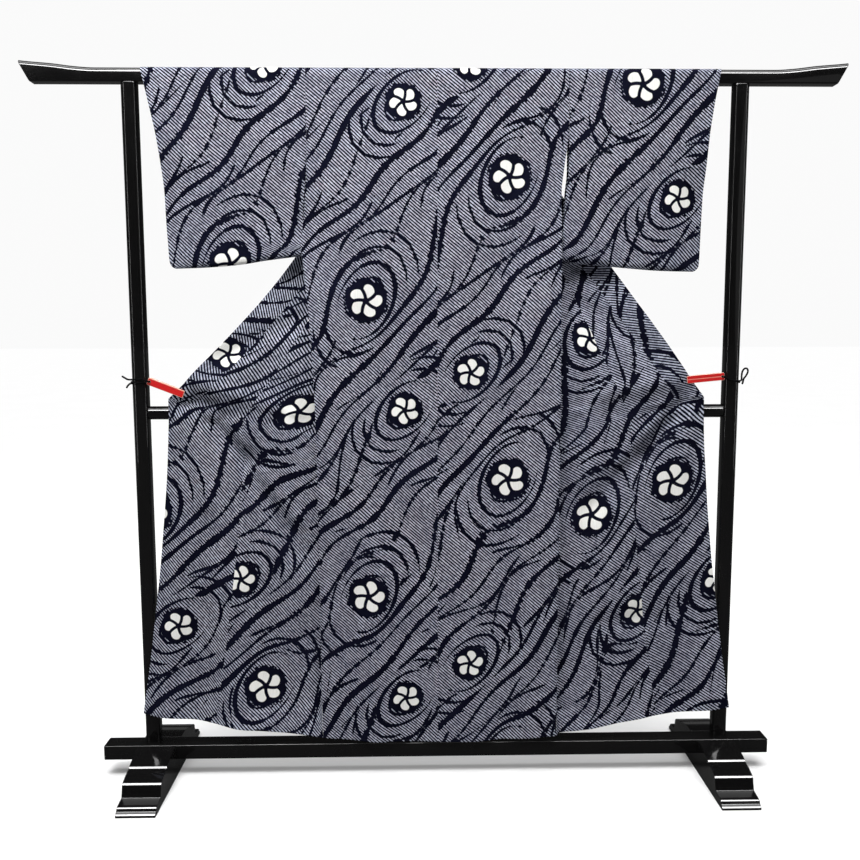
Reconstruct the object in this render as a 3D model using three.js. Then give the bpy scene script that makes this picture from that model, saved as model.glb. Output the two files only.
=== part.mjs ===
// A cotton yukata hung by its sleeves on a black lacquered kimono stand, its fronts spread by two clips.
// Millimetres, +Z up, X along the rail, the garment's back towards -Y. Origin: floor, centre of the stand.
import * as THREE from 'three';

const { clamp, lerp, smoothstep } = THREE.MathUtils;

// ---------------------------------------------------------------- stand sizes
const gap = 0.3;
const rail = { tip: 966, tipUnder: 941, bottom: 1683.5, top: 1716.5, tipTop: 1732, halfDepth: 16.5,
  topRound: 12, bottomRound: 4 };
const railSweep = [{ x: 0, rise: 0 }, { x: 790, rise: 0 }, { x: 838, rise: 0.18 }, { x: 885, rise: 0.55 },
  { x: rail.tipUnder, rise: 1 }];                           // share of the tip's rise, outwards
const post = { x: 715, halfWidth: 18, halfDepth: 17, round: 10 };
const crossbar = { z: 914, radius: 16 };
const beam = { half: 835, halfDepth: 24.4, bottom: 45, top: 81, chamfer: 1.5 };
const foot = { inner: 655, width: 92, reach: 215, shoulder: 52 };

// ---------------------------------------------------------------- cloth sizes
const cloth = { wall: 1.5, collarWall: 2.4 };
const railHug = rail.halfDepth + gap + cloth.wall / 2;      // cloth middle beside the rail
const hugRound = rail.topRound + gap + cloth.wall / 2;
const shoulderTop = rail.top + gap + cloth.wall / 2;
const flatTop = rail.halfDepth - rail.topRound;             // half of the rail's flat top
const overRail = flatTop + hugRound * Math.PI / 2;          // from the top middle to where it hangs straight
const hang = shoulderTop - hugRound + overRail;             // height = hang - distance down from the top
const hem = 1643;                                           // down the cloth from the rail's top to the hem
const sleeveSeam = 230;                                     // sleeve sewn to the body down to here
const sideSeam = 365;                                       // side seam starts here, open above it
const neck = { half: 90, start: 50, end: 85, turned: 125 }; // neck edge behind the rail, fronts turned below
const okumiTip = 238;                                       // top of the overlap panel
const collarEnd = 880;                                      // the collar's lower end, down the front
const collarWidth = 55;
const frontWidth = { top: 255, end: 268, hem: 270 };        // side seam to overlap seam
const fullWidth = 447;                                      // side seam to front edge
const seamWidthAtEnd = 389;                                 // side seam to collar seam at the collar's end
const foldRound = 9;                                        // radius of the turned-back front's fold
const shortestTuck = 12;
const seamClear = 0.2;                                      // each panel's start from the shared side seam
const cornerLift = 15;                                      // the side seam drawn up at the hem
const back = { depth: -27, hemDepth: -31, settled: 420 };   // hangs free of the rail below `settled`
const standOff = { depth: 38, by: 0.07 };                   // the collar seam stands off beside the neck

const seamPoint = new THREE.Vector3(neck.half, railHug, hang - neck.end);   // collar seam beside the neck
const collarSeamEnd = new THREE.Vector3(577, -32, 945);                     // collar seam at the clip
const lapelAcross = new THREE.Vector3(0.8, 0, 0.6);                         // across the taut collar

// down: distance from the rail's top, edge: side edge of the body, seam: depth of the side seam
const bodyEdges = {
  left: [
    { down: 0, edge: 305, seam: -18 }, { down: 230, edge: 306, seam: -18 },
    { down: 330, edge: 312, seam: -18 },
    { down: 420, edge: 322, seam: -20 }, { down: 480, edge: 316, seam: -25 },
    { down: 620, edge: 302, seam: -37 },
    { down: 840, edge: 292, seam: -46 }, { down: 1100, edge: 289, seam: -43 },
    { down: 1643, edge: 287, seam: -35 },
  ],
  right: [
    { down: 0, edge: 308, seam: -18 }, { down: 150, edge: 308, seam: -18 },
    { down: 200, edge: 307, seam: -18 },
    { down: 260, edge: 294, seam: -18 },
    { down: 420, edge: 295, seam: -20 }, { down: 480, edge: 295, seam: -25 },
    { down: 620, edge: 294, seam: -37 },
    { down: 840, edge: 293, seam: -46 }, { down: 1100, edge: 294, seam: -43 },
    { down: 1643, edge: 295, seam: -35 },
  ],
};

// the sleeve by height: inner and cuff edges from the centre line
const sleeveEdges = {
  left: [
    { z: 1250, inner: 318, cuff: 635 }, { z: 1320, inner: 320, cuff: 638 },
    { z: 1385, inner: 322, cuff: 641 },
    { z: 1480, inner: 308, cuff: 645 }, { z: 1567, inner: 306, cuff: 655 },
    { z: 1717, inner: 305.4, cuff: 686 },
  ],
  right: [
    { z: 1250, inner: 297, cuff: 629 }, { z: 1338, inner: 298, cuff: 631 },
    { z: 1400, inner: 301, cuff: 632 },
    { z: 1480, inner: 309.4, cuff: 636 }, { z: 1590, inner: 309.4, cuff: 643 },
    { z: 1717, inner: 309.4, cuff: 664 },
  ],
};

// the sleeve's bottom edge, from the inner edge out to the cuff
const sleeveBottoms = {
  left: [{ x: 318, z: 1287 }, { x: 398, z: 1278 }, { x: 473, z: 1267 }, { x: 544, z: 1261 },
  { x: 640, z: 1257 }],
  right: [{ x: 297, z: 1272 }, { x: 398, z: 1263 }, { x: 535, z: 1252 }, { x: 640, z: 1249 }],
};

// soft folds of each spread front: place across it (0 side seam, 1 front edge), depth (+ away, - towards
// the back's side) and width, at the clip's level and at the hem
const frontFolds = {
  left: [
    { atClip: 0.62, atHem: 0.20, deepClip: 9, deepHem: 6, wide: 0.16 },
    { atClip: 0.75, atHem: 0.46, deepClip: -2, deepHem: -13, wide: 0.12 },
    { atClip: 0.85, atHem: 0.68, deepClip: 2, deepHem: 10, wide: 0.10 },
    { atClip: 0.95, atHem: 0.89, deepClip: 0, deepHem: -11, wide: 0.09 },
  ],
  right: [
    { atClip: 0.60, atHem: 0.22, deepClip: 9, deepHem: -5, wide: 0.16 },
    { atClip: 0.78, atHem: 0.42, deepClip: 2, deepHem: 11, wide: 0.14 },
    { atClip: 0.88, atHem: 0.66, deepClip: 0, deepHem: 21, wide: 0.14 },
    { atClip: 0.97, atHem: 0.95, deepClip: 0, deepHem: -6, wide: 0.08 },
  ],
};

// slow hanging waves of each back panel: distance from the centre seam, depth at the hem, width
const backWaves = {
  left: [{ x: 60, deep: 5, wide: 38 }, { x: 150, deep: -6, wide: 40 }, { x: 232, deep: 4, wide: 32 }],
  right: [{ x: 70, deep: -5, wide: 40 }, { x: 158, deep: 5, wide: 36 }, { x: 235, deep: -4, wide: 30 }],
};

const sides = { left: -1, right: 1 };
const collarSag = { left: 52, right: 0 };                   // the taut collar's dip below a straight line

// ---------------------------------------------------------------- materials
const paint = (color, roughness, metalness = 0) => () =>
  new THREE.MeshStandardMaterial({ color, roughness, metalness });
const cotton = paint(0x5f6482, 0.9);
const lacquer = paint(0x0c0c0d, 0.22);
const redPlastic = paint(0xc41e23, 0.35);
const blackCord = paint(0x0b0b0c, 0.8);
const steelPin = paint(0x9a9a9c, 0.3, 0.9);

// ---------------------------------------------------------------- helpers
// A value read from a table by a smooth curve through its rows.
function along(table, by, at, column) {
  const last = table.length - 1;
  let i = 0;
  while (i < last - 1 && at > table[i + 1][by]) i++;
  const a = table[i];
  const b = table[i + 1];
  const t = clamp((at - a[by]) / (b[by] - a[by]), 0, 1);
  const slope = (row, before, after) => (after[column] - before[column]) / (after[by] - before[by]);
  const step = b[by] - a[by];
  const m0 = i > 0 ? slope(a, table[i - 1], b) * step : b[column] - a[column];
  const m1 = i < last - 1 ? slope(b, a, table[i + 2]) * step : b[column] - a[column];
  const t2 = t * t;
  const t3 = t2 * t;
  return (2 * t3 - 3 * t2 + 1) * a[column] + (t3 - 2 * t2 + t) * m0 + (3 * t2 - 2 * t3) * b[column]
    + (t3 - t2) * m1;
}

// A closed wall between two grids of points, grid[row][column]; ringed rows close on themselves.
function wallBetween(outer, inner, ringed = false) {
  const rows = outer.length;
  const columns = outer[0].length;
  const points = [...outer.flat(), ...inner.flat()];
  const at = (side, j, i) => side * rows * columns + j * columns + (i % columns);
  const faces = [];
  const quad = (a, b, c, d) => faces.push(a, b, c, a, c, d);
  const steps = ringed ? columns : columns - 1;
  for (let j = 0; j < rows - 1; j++) {
    for (let i = 0; i < steps; i++) {
      quad(at(0, j, i), at(0, j, i + 1), at(0, j + 1, i + 1), at(0, j + 1, i));
      quad(at(1, j, i), at(1, j + 1, i), at(1, j + 1, i + 1), at(1, j, i + 1));
    }
    if (!ringed) {
      quad(at(0, j, 0), at(0, j + 1, 0), at(1, j + 1, 0), at(1, j, 0));
      quad(at(0, j, steps), at(1, j, steps), at(1, j + 1, steps), at(0, j + 1, steps));
    }
  }
  const bottom = rows - 1;
  for (let i = 0; i < steps; i++) {
    quad(at(0, 0, i), at(1, 0, i), at(1, 0, i + 1), at(0, 0, i + 1));
    quad(at(0, bottom, i), at(0, bottom, i + 1), at(1, bottom, i + 1), at(1, bottom, i));
  }
  return facingOut(points, faces);
}

// A geometry from points and faces, turned so that its faces point out.
function facingOut(points, faces) {
  let volume = 0;
  for (let k = 0; k < faces.length; k += 3) {
    const [a, b, c] = [points[faces[k]], points[faces[k + 1]], points[faces[k + 2]]];
    volume += a.dot(b.clone().cross(c));
  }
  if (volume < 0) faces.reverse();
  const geometry = new THREE.BufferGeometry();
  const numbers = points.flatMap((p) => [p.x, p.y, p.z]);
  geometry.setAttribute('position', new THREE.Float32BufferAttribute(numbers, 3));
  geometry.setIndex(faces);
  return geometry;
}

// A wall of even thickness about a grid of points.
function wallAbout(grid, thickness) {
  const rows = grid.length;
  const columns = grid[0].length;
  const shifted = (amount) => grid.map((row, j) => row.map((p, i) => {
    const across = row[Math.min(i + 1, columns - 1)].clone().sub(row[Math.max(i - 1, 0)]);
    const down = grid[Math.min(j + 1, rows - 1)][i].clone().sub(grid[Math.max(j - 1, 0)][i]);
    return p.clone().addScaledVector(across.cross(down).normalize(), amount);
  }));
  return wallBetween(shifted(thickness / 2), shifted(-thickness / 2));
}

// ---------------------------------------------------------------- the body panels
const bodyEdge = (side, down) => along(bodyEdges[side], 'down', down, 'edge');
const seamDepth = (side, down) => along(bodyEdges[side], 'down', down, 'seam');

// Height of the cloth over and beside the rail, and its depth there, by distance from the top middle.
function railSection(distance) {
  const s = Math.abs(distance);
  const turned = clamp((s - flatTop) / hugRound, 0, Math.PI / 2);
  const y = Math.min(s, flatTop) + hugRound * Math.sin(turned);
  const z = shoulderTop - hugRound * (1 - Math.cos(turned)) - Math.max(s - overRail, 0);
  return { y: Math.sign(distance) * y, z };
}

// The side edge is drawn up a little by the spread front, more towards the hem.
const drawnUp = (x, edge, down) => cornerLift * (x / edge) ** 2 * (down / hem) ** 1.5;

// A point of a back panel: x from the centre seam, down from the rail's top.
function backPoint(side, x, down) {
  const section = railSection(-down);
  const edge = bodyEdge(side, down);
  const leaving = smoothstep(down, overRail, back.settled);
  const middle = lerp(section.y, lerp(back.depth, back.hemDepth, smoothstep(down, 800, hem)), leaving);
  const atEdge = lerp(section.y, seamDepth(side, down) - cloth.wall / 2 - gap / 2,
    smoothstep(down, sleeveSeam, sideSeam));
  let y = lerp(middle, atEdge, smoothstep(x / edge, 0.25, 1));
  const waving = smoothstep(down, 350, hem);
  for (const wave of backWaves[side]) {
    y += wave.deep * waving * Math.exp(-(((x - wave.x) / wave.wide) ** 2));
  }
  return new THREE.Vector3(x, y, section.z + drawnUp(x, edge, down));
}

// Across the collar, from its seam to its free edge: hanging down behind the neck, standing out beside it,
// then turned outwards along the spread front.
function acrossCollar(turn) {
  const t = clamp(turn, 0, 1);
  const down = new THREE.Vector3(0, 0.12, -1).multiplyScalar((1 - t) ** 2);
  const out = new THREE.Vector3(0, 1.1, 0).multiplyScalar(2 * t * (1 - t));
  return down.add(out).addScaledVector(lapelAcross, t * t).normalize();
}

// The collar seam at a distance down the front, with the collar's direction and width there.
function collarAt(side, down) {
  if (down <= neck.end) {
    const round = clamp((down - neck.start) / (neck.end - neck.start), 0, 1);
    const x = neck.half * Math.sqrt(1 - (1 - round) ** 2);
    return { seam: new THREE.Vector3(x, railHug, hang - down), across: acrossCollar(0.3 * round),
      width: collarWidth };
  }
  const t = (down - neck.end) / (collarEnd - neck.end);
  const seam = seamPoint.clone().lerp(collarSeamEnd, t);
  seam.addScaledVector(lapelAcross, -collarSag[side] * 4 * t * (1 - t));
  const standing = lerp(railHug, standOff.depth, smoothstep(t, 0, standOff.by));
  seam.y = lerp(standing, collarSeamEnd.y, smoothstep(t, 0.42, 0.95));
  const ending = smoothstep(t, 0.9, 1);
  const across = acrossCollar(0.3 + 0.7 * smoothstep(t, 0, 0.15));
  across.lerp(new THREE.Vector3(0.995, 0, 0.1), ending).normalize();
  const width = lerp(collarWidth, collarWidth / across.dot(lapelAcross), ending);
  return { seam, across, width };
}

// The front edge below the collar's end.
function frontEdge(down) {
  const t = (down - collarEnd) / (hem - collarEnd);
  return new THREE.Vector3(641 + 87 * t ** 1.5, -32 - 2 * t, lerp(952, 172, t));
}

// The path of a front, seen from above: a tuck of some length in the heading given, a round turn back,
// then straight to the end. Returns its length and a function giving the place after some distance.
function turnedPath(start, end, tuck, heading, radius) {
  const turnAt = start.clone().add(
    new THREE.Vector2(Math.cos(heading), Math.sin(heading)).multiplyScalar(tuck));
  const centre = turnAt.clone().add(
    new THREE.Vector2(Math.sin(heading), -Math.cos(heading)).multiplyScalar(radius));
  const toEnd = end.clone().sub(centre);
  const reach = Math.max(toEnd.length(), radius * 1.001);
  const leaving = Math.atan2(toEnd.y, toEnd.x) - Math.asin(radius / reach);
  const turned = Math.max(heading - leaving, 0) * radius;
  const straight = Math.sqrt(reach ** 2 - radius ** 2);
  const onTurn = (distance) => {
    const angle = heading - distance / radius;
    return centre.clone().add(new THREE.Vector2(-Math.sin(angle), Math.cos(angle)).multiplyScalar(radius));
  };
  const place = (distance) => {
    if (distance <= tuck) return start.clone().lerp(turnAt, distance / Math.max(tuck, 1e-6));
    if (distance <= tuck + turned) return onTurn(distance - tuck);
    return onTurn(turned).lerp(end, clamp((distance - tuck - turned) / straight, 0, 1));
  };
  return { length: tuck + turned + straight, tuck, turned, place };
}

// Halves an interval until the rising function meets the wanted value.
function solve(low, high, wanted, value) {
  for (let n = 0; n < 40; n++) {
    const middle = (low + high) / 2;
    if (value(middle) < wanted) low = middle;
    else high = middle;
  }
  return (low + high) / 2;
}

// One level of a front, from the side edge to the collar seam or the front edge.
function frontLevel(side, down) {
  const edge = bodyEdge(side, down);
  const seamed = smoothstep(down, sleeveSeam, sideSeam);
  const end = down <= collarEnd ? collarAt(side, down).seam : frontEdge(down);
  const startHeight = hang - down + drawnUp(1, 1, down);
  const shoulder = bodyEdge(side, neck.end) - neck.half;
  const widthOfFront = down < collarEnd
    ? lerp(frontWidth.top, frontWidth.end, smoothstep(down, sleeveSeam, collarEnd))
    : lerp(frontWidth.end, frontWidth.hem, (down - collarEnd) / (hem - collarEnd));
  let width = fullWidth;
  if (down <= collarEnd) {
    width = down < sleeveSeam
      ? lerp(shoulder, frontWidth.top, (down - neck.end) / (sleeveSeam - neck.end))
      : lerp(frontWidth.top, seamWidthAtEnd, (down - sleeveSeam) / (collarEnd - sleeveSeam));
  }
  const planWidth = Math.sqrt(width ** 2 - (end.z - startHeight) ** 2);
  const goal = new THREE.Vector2(end.x, end.y);
  const tilt = down < 700 ? 0.15 * smoothstep(down, 200, sideSeam) : 0.07;
  const startAt = (heading) => {
    const joined = new THREE.Vector2(
      edge + seamClear * Math.cos(heading / 2) + cloth.wall / 2 * Math.sin(heading),
      seamDepth(side, down) + seamClear * Math.sin(heading / 2) - cloth.wall / 2 * Math.cos(heading));
    return new THREE.Vector2(edge - gap / 2, railHug).lerp(joined, seamed);
  };
  const inward = Math.PI - tilt;
  const path = (tuck, heading) => turnedPath(startAt(heading), goal, tuck, heading, foldRound);
  let found;
  if (down <= neck.turned) {
    found = { length: planWidth, tuck: planWidth, turned: 0,
      place: (distance) => startAt(Math.PI).lerp(goal, distance / planWidth) };
  } else if (path(shortestTuck, inward).length <= planWidth) {
    found = path(solve(shortestTuck, 400, planWidth, (tuck) => path(tuck, inward).length), inward);
  } else {
    found = path(shortestTuck, solve(0, inward, planWidth, (turn) => path(shortestTuck, turn).length));
  }
  const point = (distance) => {
    const share = clamp(distance / width, 0, 1);
    const plan = found.place(share * found.length);
    const across = clamp((plan.x - edge) / (end.x - edge), 0, 1);
    const lift = (end.z - startHeight) * share ** 1.2;
    let y = plan.y;
    if (down > 500) {
      const t = clamp((down - collarEnd) / (hem - collarEnd), 0, 1);
      const growing = smoothstep(down, 560, collarEnd) * smoothstep(across, 0, 0.12)
        * (1 - smoothstep(across, 0.9, 1) * smoothstep(hem - down, 560, 740));
      for (const fold of frontFolds[side]) {
        const at = (across - lerp(fold.atClip, fold.atHem, t)) / fold.wide;
        y += growing * lerp(fold.deepClip, fold.deepHem, t) * Math.exp(-(at ** 2));
      }
    }
    return new THREE.Vector3(plan.x, y, startHeight + lift);
  };
  return { width, widthOfFront, point, stretch: width / found.length, ...found };
}

// Where the columns of a front level lie, closer together round the turn.
function frontColumns(level, reach) {
  const tuck = Math.min(level.tuck * level.stretch, reach);
  const turned = Math.min(level.turned * level.stretch, reach - tuck);
  const rest = reach - tuck - turned;
  const folded = [0, tuck / 3, tuck * 2 / 3, tuck, tuck + turned / 4, tuck + turned / 2, tuck + turned * 0.75,
    tuck + turned, ...[1, 2, 3, 4].map((n) => tuck + turned + rest * n / 4)];
  const evenness = 1 - smoothstep(level.turned, 2, 20);
  const last = folded.length - 1;
  return folded.map((distance, n) => lerp(distance, reach * n / last, Math.max(evenness, 0.12)));
}
const bodyColumns = 11;

const backDowns = [hem, 1540, 1430, 1310, 1190, 1070, 950, 850, 750, 650, 560, 480, 420, sideSeam, 300,
  sleeveSeam, 160, 95, 50];
const topAngles = [90, 72, 54, 36, 18, 0];
const neckDowns = [neck.start, 53, 59, 69, neck.end];
const seamDowns = [100, 118, 140, 165, 195, 229];
const lapelDowns = [247, 280, 320, sideSeam, 410, 460, 515, 575, 640, 705, 770, 830, collarEnd];
const lowerDowns = [893, 940, 1010, 1090, 1170, 1250, 1330, 1410, 1490, 1570, hem];

// A body panel: back, over the rail and down the front in one length.
function bodyGrid(side) {
  const flat = (place) => Array.from({ length: bodyColumns + 1 }, (_, n) => place(n / bodyColumns));
  const grid = [];
  for (const down of backDowns) {
    grid.push(flat((t) => backPoint(side, lerp(bodyEdge(side, down) - gap / 2, gap / 2, t), down)));
  }
  const overTop = [...topAngles.map((a) => -a), ...topAngles.toReversed()];
  for (const angle of overTop) {
    const turned = Math.abs(angle) * Math.PI / 180;
    const y = flatTop + hugRound * Math.sin(turned);
    const z = shoulderTop - hugRound * (1 - Math.cos(turned));
    const toBack = grid.length < backDowns.length + topAngles.length ? -1 : 1;
    const edge = bodyEdge(side, overRail * turned / (Math.PI / 2)) - gap / 2;
    grid.push(flat((t) => new THREE.Vector3(lerp(edge, gap / 2, t), toBack * y, z)));
  }
  for (const down of [...neckDowns, ...seamDowns, ...lapelDowns, ...lowerDowns]) {
    if (down <= neck.end) {
      const edge = bodyEdge(side, down) - gap / 2;
      const inner = Math.max(collarAt(side, down).seam.x, gap / 2);
      grid.push(flat((t) => new THREE.Vector3(lerp(edge, inner, t), railHug, hang - down + gap / 2)));
      continue;
    }
    const level = frontLevel(side, down);
    const reach = Math.min(level.widthOfFront, level.width) - gap / 2;
    grid.push(frontColumns(level, reach).map(level.point));
  }
  return grid;
}

// The overlap panel, from the front's seam to the collar seam, then to the front edge.
function okumiGrid(side) {
  const columns = 4;
  return [okumiTip, ...lapelDowns, ...lowerDowns].map((down) => {
    const level = frontLevel(side, down);
    const from = level.widthOfFront + gap / 2;
    const to = Math.max(level.width - gap / 2, from + 2);
    return Array.from({ length: columns + 1 }, (_, n) => level.point(lerp(from, to, n / columns)));
  });
}

// The collar: one band from clip to clip round the neck, starting clear of the cloth that it is sewn to.
function collarGrid() {
  const columns = 3;
  const station = (side, down) => {
    const { seam, across, width } = collarAt(side, down);
    const level = down > neck.end ? frontLevel(side, down) : null;
    const arriving = level
      ? level.point(level.width).sub(level.point(level.width - 8)).normalize()
      : new THREE.Vector3(0, 0, -1);
    const turn = Math.min(arriving.cross(across).length(), 1);
    const clear = gap + 2 * turn * cloth.wall / 1.5;
    return Array.from({ length: columns + 1 }, (_, n) => {
      const p = seam.clone().addScaledVector(across, lerp(clear, width, n / columns));
      return new THREE.Vector3(sides[side] * p.x, p.y, p.z);
    });
  };
  const downs = [...neckDowns.slice(1), ...seamDowns, okumiTip, ...lapelDowns];
  const left = downs.toReversed().map((down) => station('left', down));
  const right = downs.map((down) => station('right', down));
  return [...left, station('right', neck.start), ...right];
}

// The same grid on the side wanted: everything is worked out on the positive side first.
const mirrored = (grid, side) => grid.map((row) =>
  row.map((p) => new THREE.Vector3(sides[side] * p.x, p.y, p.z)));

// ---------------------------------------------------------------- the sleeves
const sleeveSlim = { back: { left: 11, right: 14 }, frontInner: 5, frontCuff: 12 };   // half depths low down
const cuffCorner = 18;                                      // the round of the sleeve's outer bottom corner
const sleeveHeights = [1640, 1560, 1490, 1430, 1370, 1315];
const bottomEdge = 1260;                                    // height at which the bottom edge is measured out

// Half the sleeve's inner space at a height, towards the back (-1) or the front (1); pinched shut where
// the cuff is sewn up.
function sleeveHalf(side, toward, z, share) {
  const beside = rail.halfDepth + gap;
  const slim = toward < 0 ? sleeveSlim.back[side] : lerp(sleeveSlim.frontInner, sleeveSlim.frontCuff, share);
  const open = lerp(slim, beside, smoothstep(z, 1300, 1640));
  const sewn = smoothstep(share, 0.72, 1) * (1 - smoothstep(z, 1440, 1530));
  return lerp(open, gap, sewn);
}

// A ring of the sleeve a share of the way from its inner edge (0) to the cuff (1), moved out by an offset.
function sleeveRing(side, share, offset) {
  const inner = (z) => along(sleeveEdges[side], 'z', z, 'inner');
  const cuff = (z) => along(sleeveEdges[side], 'z', z, 'cuff');
  const bottomX = lerp(inner(bottomEdge), cuff(bottomEdge), share);
  const bottom = along(sleeveBottoms[side], 'x', bottomX, 'z') + cloth.wall;
  const xAt = (z) => {
    const into = clamp((bottom + cuffCorner - z) / cuffCorner, 0, 1);
    return lerp(inner(z), cuff(z) - cuffCorner * (1 - Math.sqrt(1 - into ** 2)) * 0.8, share);
  };
  const ring = [];
  const add = (y, z) => ring.push(new THREE.Vector3(xAt(z), y, z));
  const round = rail.topRound + gap + offset;
  const topCentre = rail.top - rail.topRound;
  for (const angle of topAngles.toReversed()) {
    const a = angle * Math.PI / 180;
    add(flatTop + round * Math.sin(a), topCentre + round * Math.cos(a));
  }
  const heights = [...sleeveHeights, bottom + 12];
  for (const z of heights) add(sleeveHalf(side, 1, z, share) + offset, z);
  const low = bottom - offset;
  const front = sleeveHalf(side, 1, bottom, share) + offset;
  const behind = sleeveHalf(side, -1, bottom, share) + offset;
  add(front * 0.75, low + 3);
  add((front - behind) / 2, low);
  add(-behind * 0.75, low + 3);
  for (const z of heights.toReversed()) add(-sleeveHalf(side, -1, z, share) - offset, z);
  for (const angle of topAngles) {
    const a = angle * Math.PI / 180;
    add(-flatTop - round * Math.sin(a), topCentre + round * Math.cos(a));
  }
  return ring;
}

function sleeve(side) {
  const shares = [0, 0.14, 0.3, 0.46, 0.6, 0.73, 0.84, 0.93, 1];
  const rings = (offset) => mirrored(shares.map((share) => sleeveRing(side, share, offset)), side);
  return wallBetween(rings(cloth.wall), rings(0), true);
}

// ---------------------------------------------------------------- the stand
// A ring round a rounded rectangle: half width and height about a centre, with its corner rounds.
function roundedRing(halfWidth, low, high, lowRound, highRound, steps = 4) {
  const ring = [];
  const corners = [[1, 1, 0, highRound], [-1, 1, 90, highRound],
    [-1, -1, 180, lowRound], [1, -1, 270, lowRound]];
  for (const [sx, sz, from, round] of corners) {
    const cx = sx * (halfWidth - round);
    const cz = sz > 0 ? high - round : low + round;
    for (let n = 0; n <= steps; n++) {
      const a = (from + 90 * n / steps) * Math.PI / 180;
      ring.push([cx + round * Math.cos(a), cz + round * Math.sin(a)]);
    }
  }
  return ring;
}

// A solid through rings of points, closed by a flat fan at each end.
function loft(rings) {
  const count = rings[0].length;
  const points = rings.flat();
  const faces = [];
  for (let j = 0; j < rings.length - 1; j++) {
    for (let i = 0; i < count; i++) {
      const a = j * count + i;
      const b = j * count + (i + 1) % count;
      faces.push(a, b, b + count, a, b + count, a + count);
    }
  }
  const end = (rings.length - 1) * count;
  for (let i = 1; i < count - 1; i++) {
    faces.push(0, i + 1, i);
    faces.push(end, end + i, end + i + 1);
  }
  return facingOut(points, faces);
}

// The top rail: flat in the middle, its tips swept up and cut slanting.
function railGeometry() {
  const stations = [...railSweep.toReversed().map((s) => ({ ...s, x: -s.x })), ...railSweep.slice(1)];
  return loft(stations.map(({ x, rise }) => {
    const high = lerp(rail.top, rail.tipTop, rise);
    const section = roundedRing(rail.halfDepth, rail.bottom, high, rail.bottomRound, rail.topRound);
    return section.map(([y, z]) => {
      const up = (z - rail.bottom) / (high - rail.bottom);
      const slant = Math.abs(x) === rail.tipUnder ? up * (rail.tip - rail.tipUnder) : 0;
      return new THREE.Vector3(x + Math.sign(x) * slant, y, z);
    });
  }));
}

function extrudeX(points, width) {
  const shape = new THREE.Shape(points.map(([y, z]) => new THREE.Vector2(y, z)));
  const geometry = new THREE.ExtrudeGeometry(shape, { depth: width, bevelEnabled: false });
  return geometry.rotateX(Math.PI / 2).rotateZ(Math.PI / 2);
}

function postGeometry() {
  const ring = roundedRing(post.halfWidth, -post.halfDepth, post.halfDepth, post.round, post.round, 4);
  const at = (z) => ring.map(([x, y]) => new THREE.Vector3(x, y, z));
  return loft([at(beam.top + gap), at(rail.bottom - gap)]);
}

function crossbarGeometry() {
  const length = 2 * (post.x - post.halfWidth - gap);
  return new THREE.CylinderGeometry(crossbar.radius, crossbar.radius, length, 24).rotateZ(Math.PI / 2);
}

function beamGeometry() {
  const ring = roundedRing(beam.halfDepth, beam.bottom, beam.top, beam.chamfer, beam.chamfer, 1);
  const at = (x, inset) => ring.map(([y, z]) => new THREE.Vector3(x, y - Math.sign(y) * inset,
    z + (z > (beam.top + beam.bottom) / 2 ? -inset : inset)));
  return loft([at(-beam.half, beam.chamfer), at(beam.chamfer - beam.half, 0), at(beam.half - beam.chamfer, 0),
    at(beam.half, beam.chamfer)]);
}

// The foot's outline from its notched middle to the toe; out: distance from the middle.
const footOutline = [
  { out: foot.shoulder, z: 81 }, { out: 66, z: 79 }, { out: 84, z: 74 }, { out: 106, z: 69 },
  { out: 110, z: 65 },
  { out: 134, z: 61 }, { out: 156, z: 54 }, { out: 160, z: 50 }, { out: 166, z: 36 }, { out: 176, z: 26 },
  { out: 190, z: 20.5 }, { out: 203, z: 19 }, { out: 206, z: 14 }, { out: 211, z: 8 },
  { out: foot.reach, z: 5 },
];

function footGeometry() {
  const notch = beam.halfDepth + gap;
  const notchFloor = beam.bottom - gap;
  const half = footOutline.map(({ out, z }) => [out, z]);
  const points = [
    [-foot.reach, 0], [foot.reach, 0],
    ...half.toReversed(),
    [notch, beam.top], [notch, notchFloor], [-notch, notchFloor], [-notch, beam.top],
    ...half.map(([out, z]) => [-out, z]),
  ];
  return extrudeX(points, foot.width);
}

// ---------------------------------------------------------------- clips and ties
const clip = { length: 90, height: 18, jaw: 4, round: 3, clothSpace: 3.2, holeFromTail: 5, hole: 2.6,
  pin: 3.5, pinFromTail: 34 };
const clipPlaces = {
  left: { tail: [688, 993.5], tip: [606, 961.5] },
  right: { tail: [688, 1000], tip: [603, 992] },
};
const clipDepth = collarSeamEnd.y;

function jawGeometry() {
  const shape = new THREE.Shape();
  const half = clip.height / 2;
  const r = clip.round;
  shape.moveTo(r, -half);
  shape.lineTo(clip.length - r, -half);
  shape.quadraticCurveTo(clip.length, -half, clip.length, r - half);
  shape.lineTo(clip.length, half - r);
  shape.quadraticCurveTo(clip.length, half, clip.length - r, half);
  shape.lineTo(r, half);
  shape.quadraticCurveTo(0, half, 0, half - r);
  shape.lineTo(0, r - half);
  shape.quadraticCurveTo(0, -half, r, -half);
  const hole = new THREE.Path();
  hole.absarc(clip.holeFromTail, 0, clip.hole, 0, Math.PI * 2, true);
  shape.holes.push(hole);
  const solid = { depth: clip.jaw, bevelEnabled: false, curveSegments: 8 };
  return new THREE.ExtrudeGeometry(shape, solid).rotateX(Math.PI / 2);
}

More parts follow.
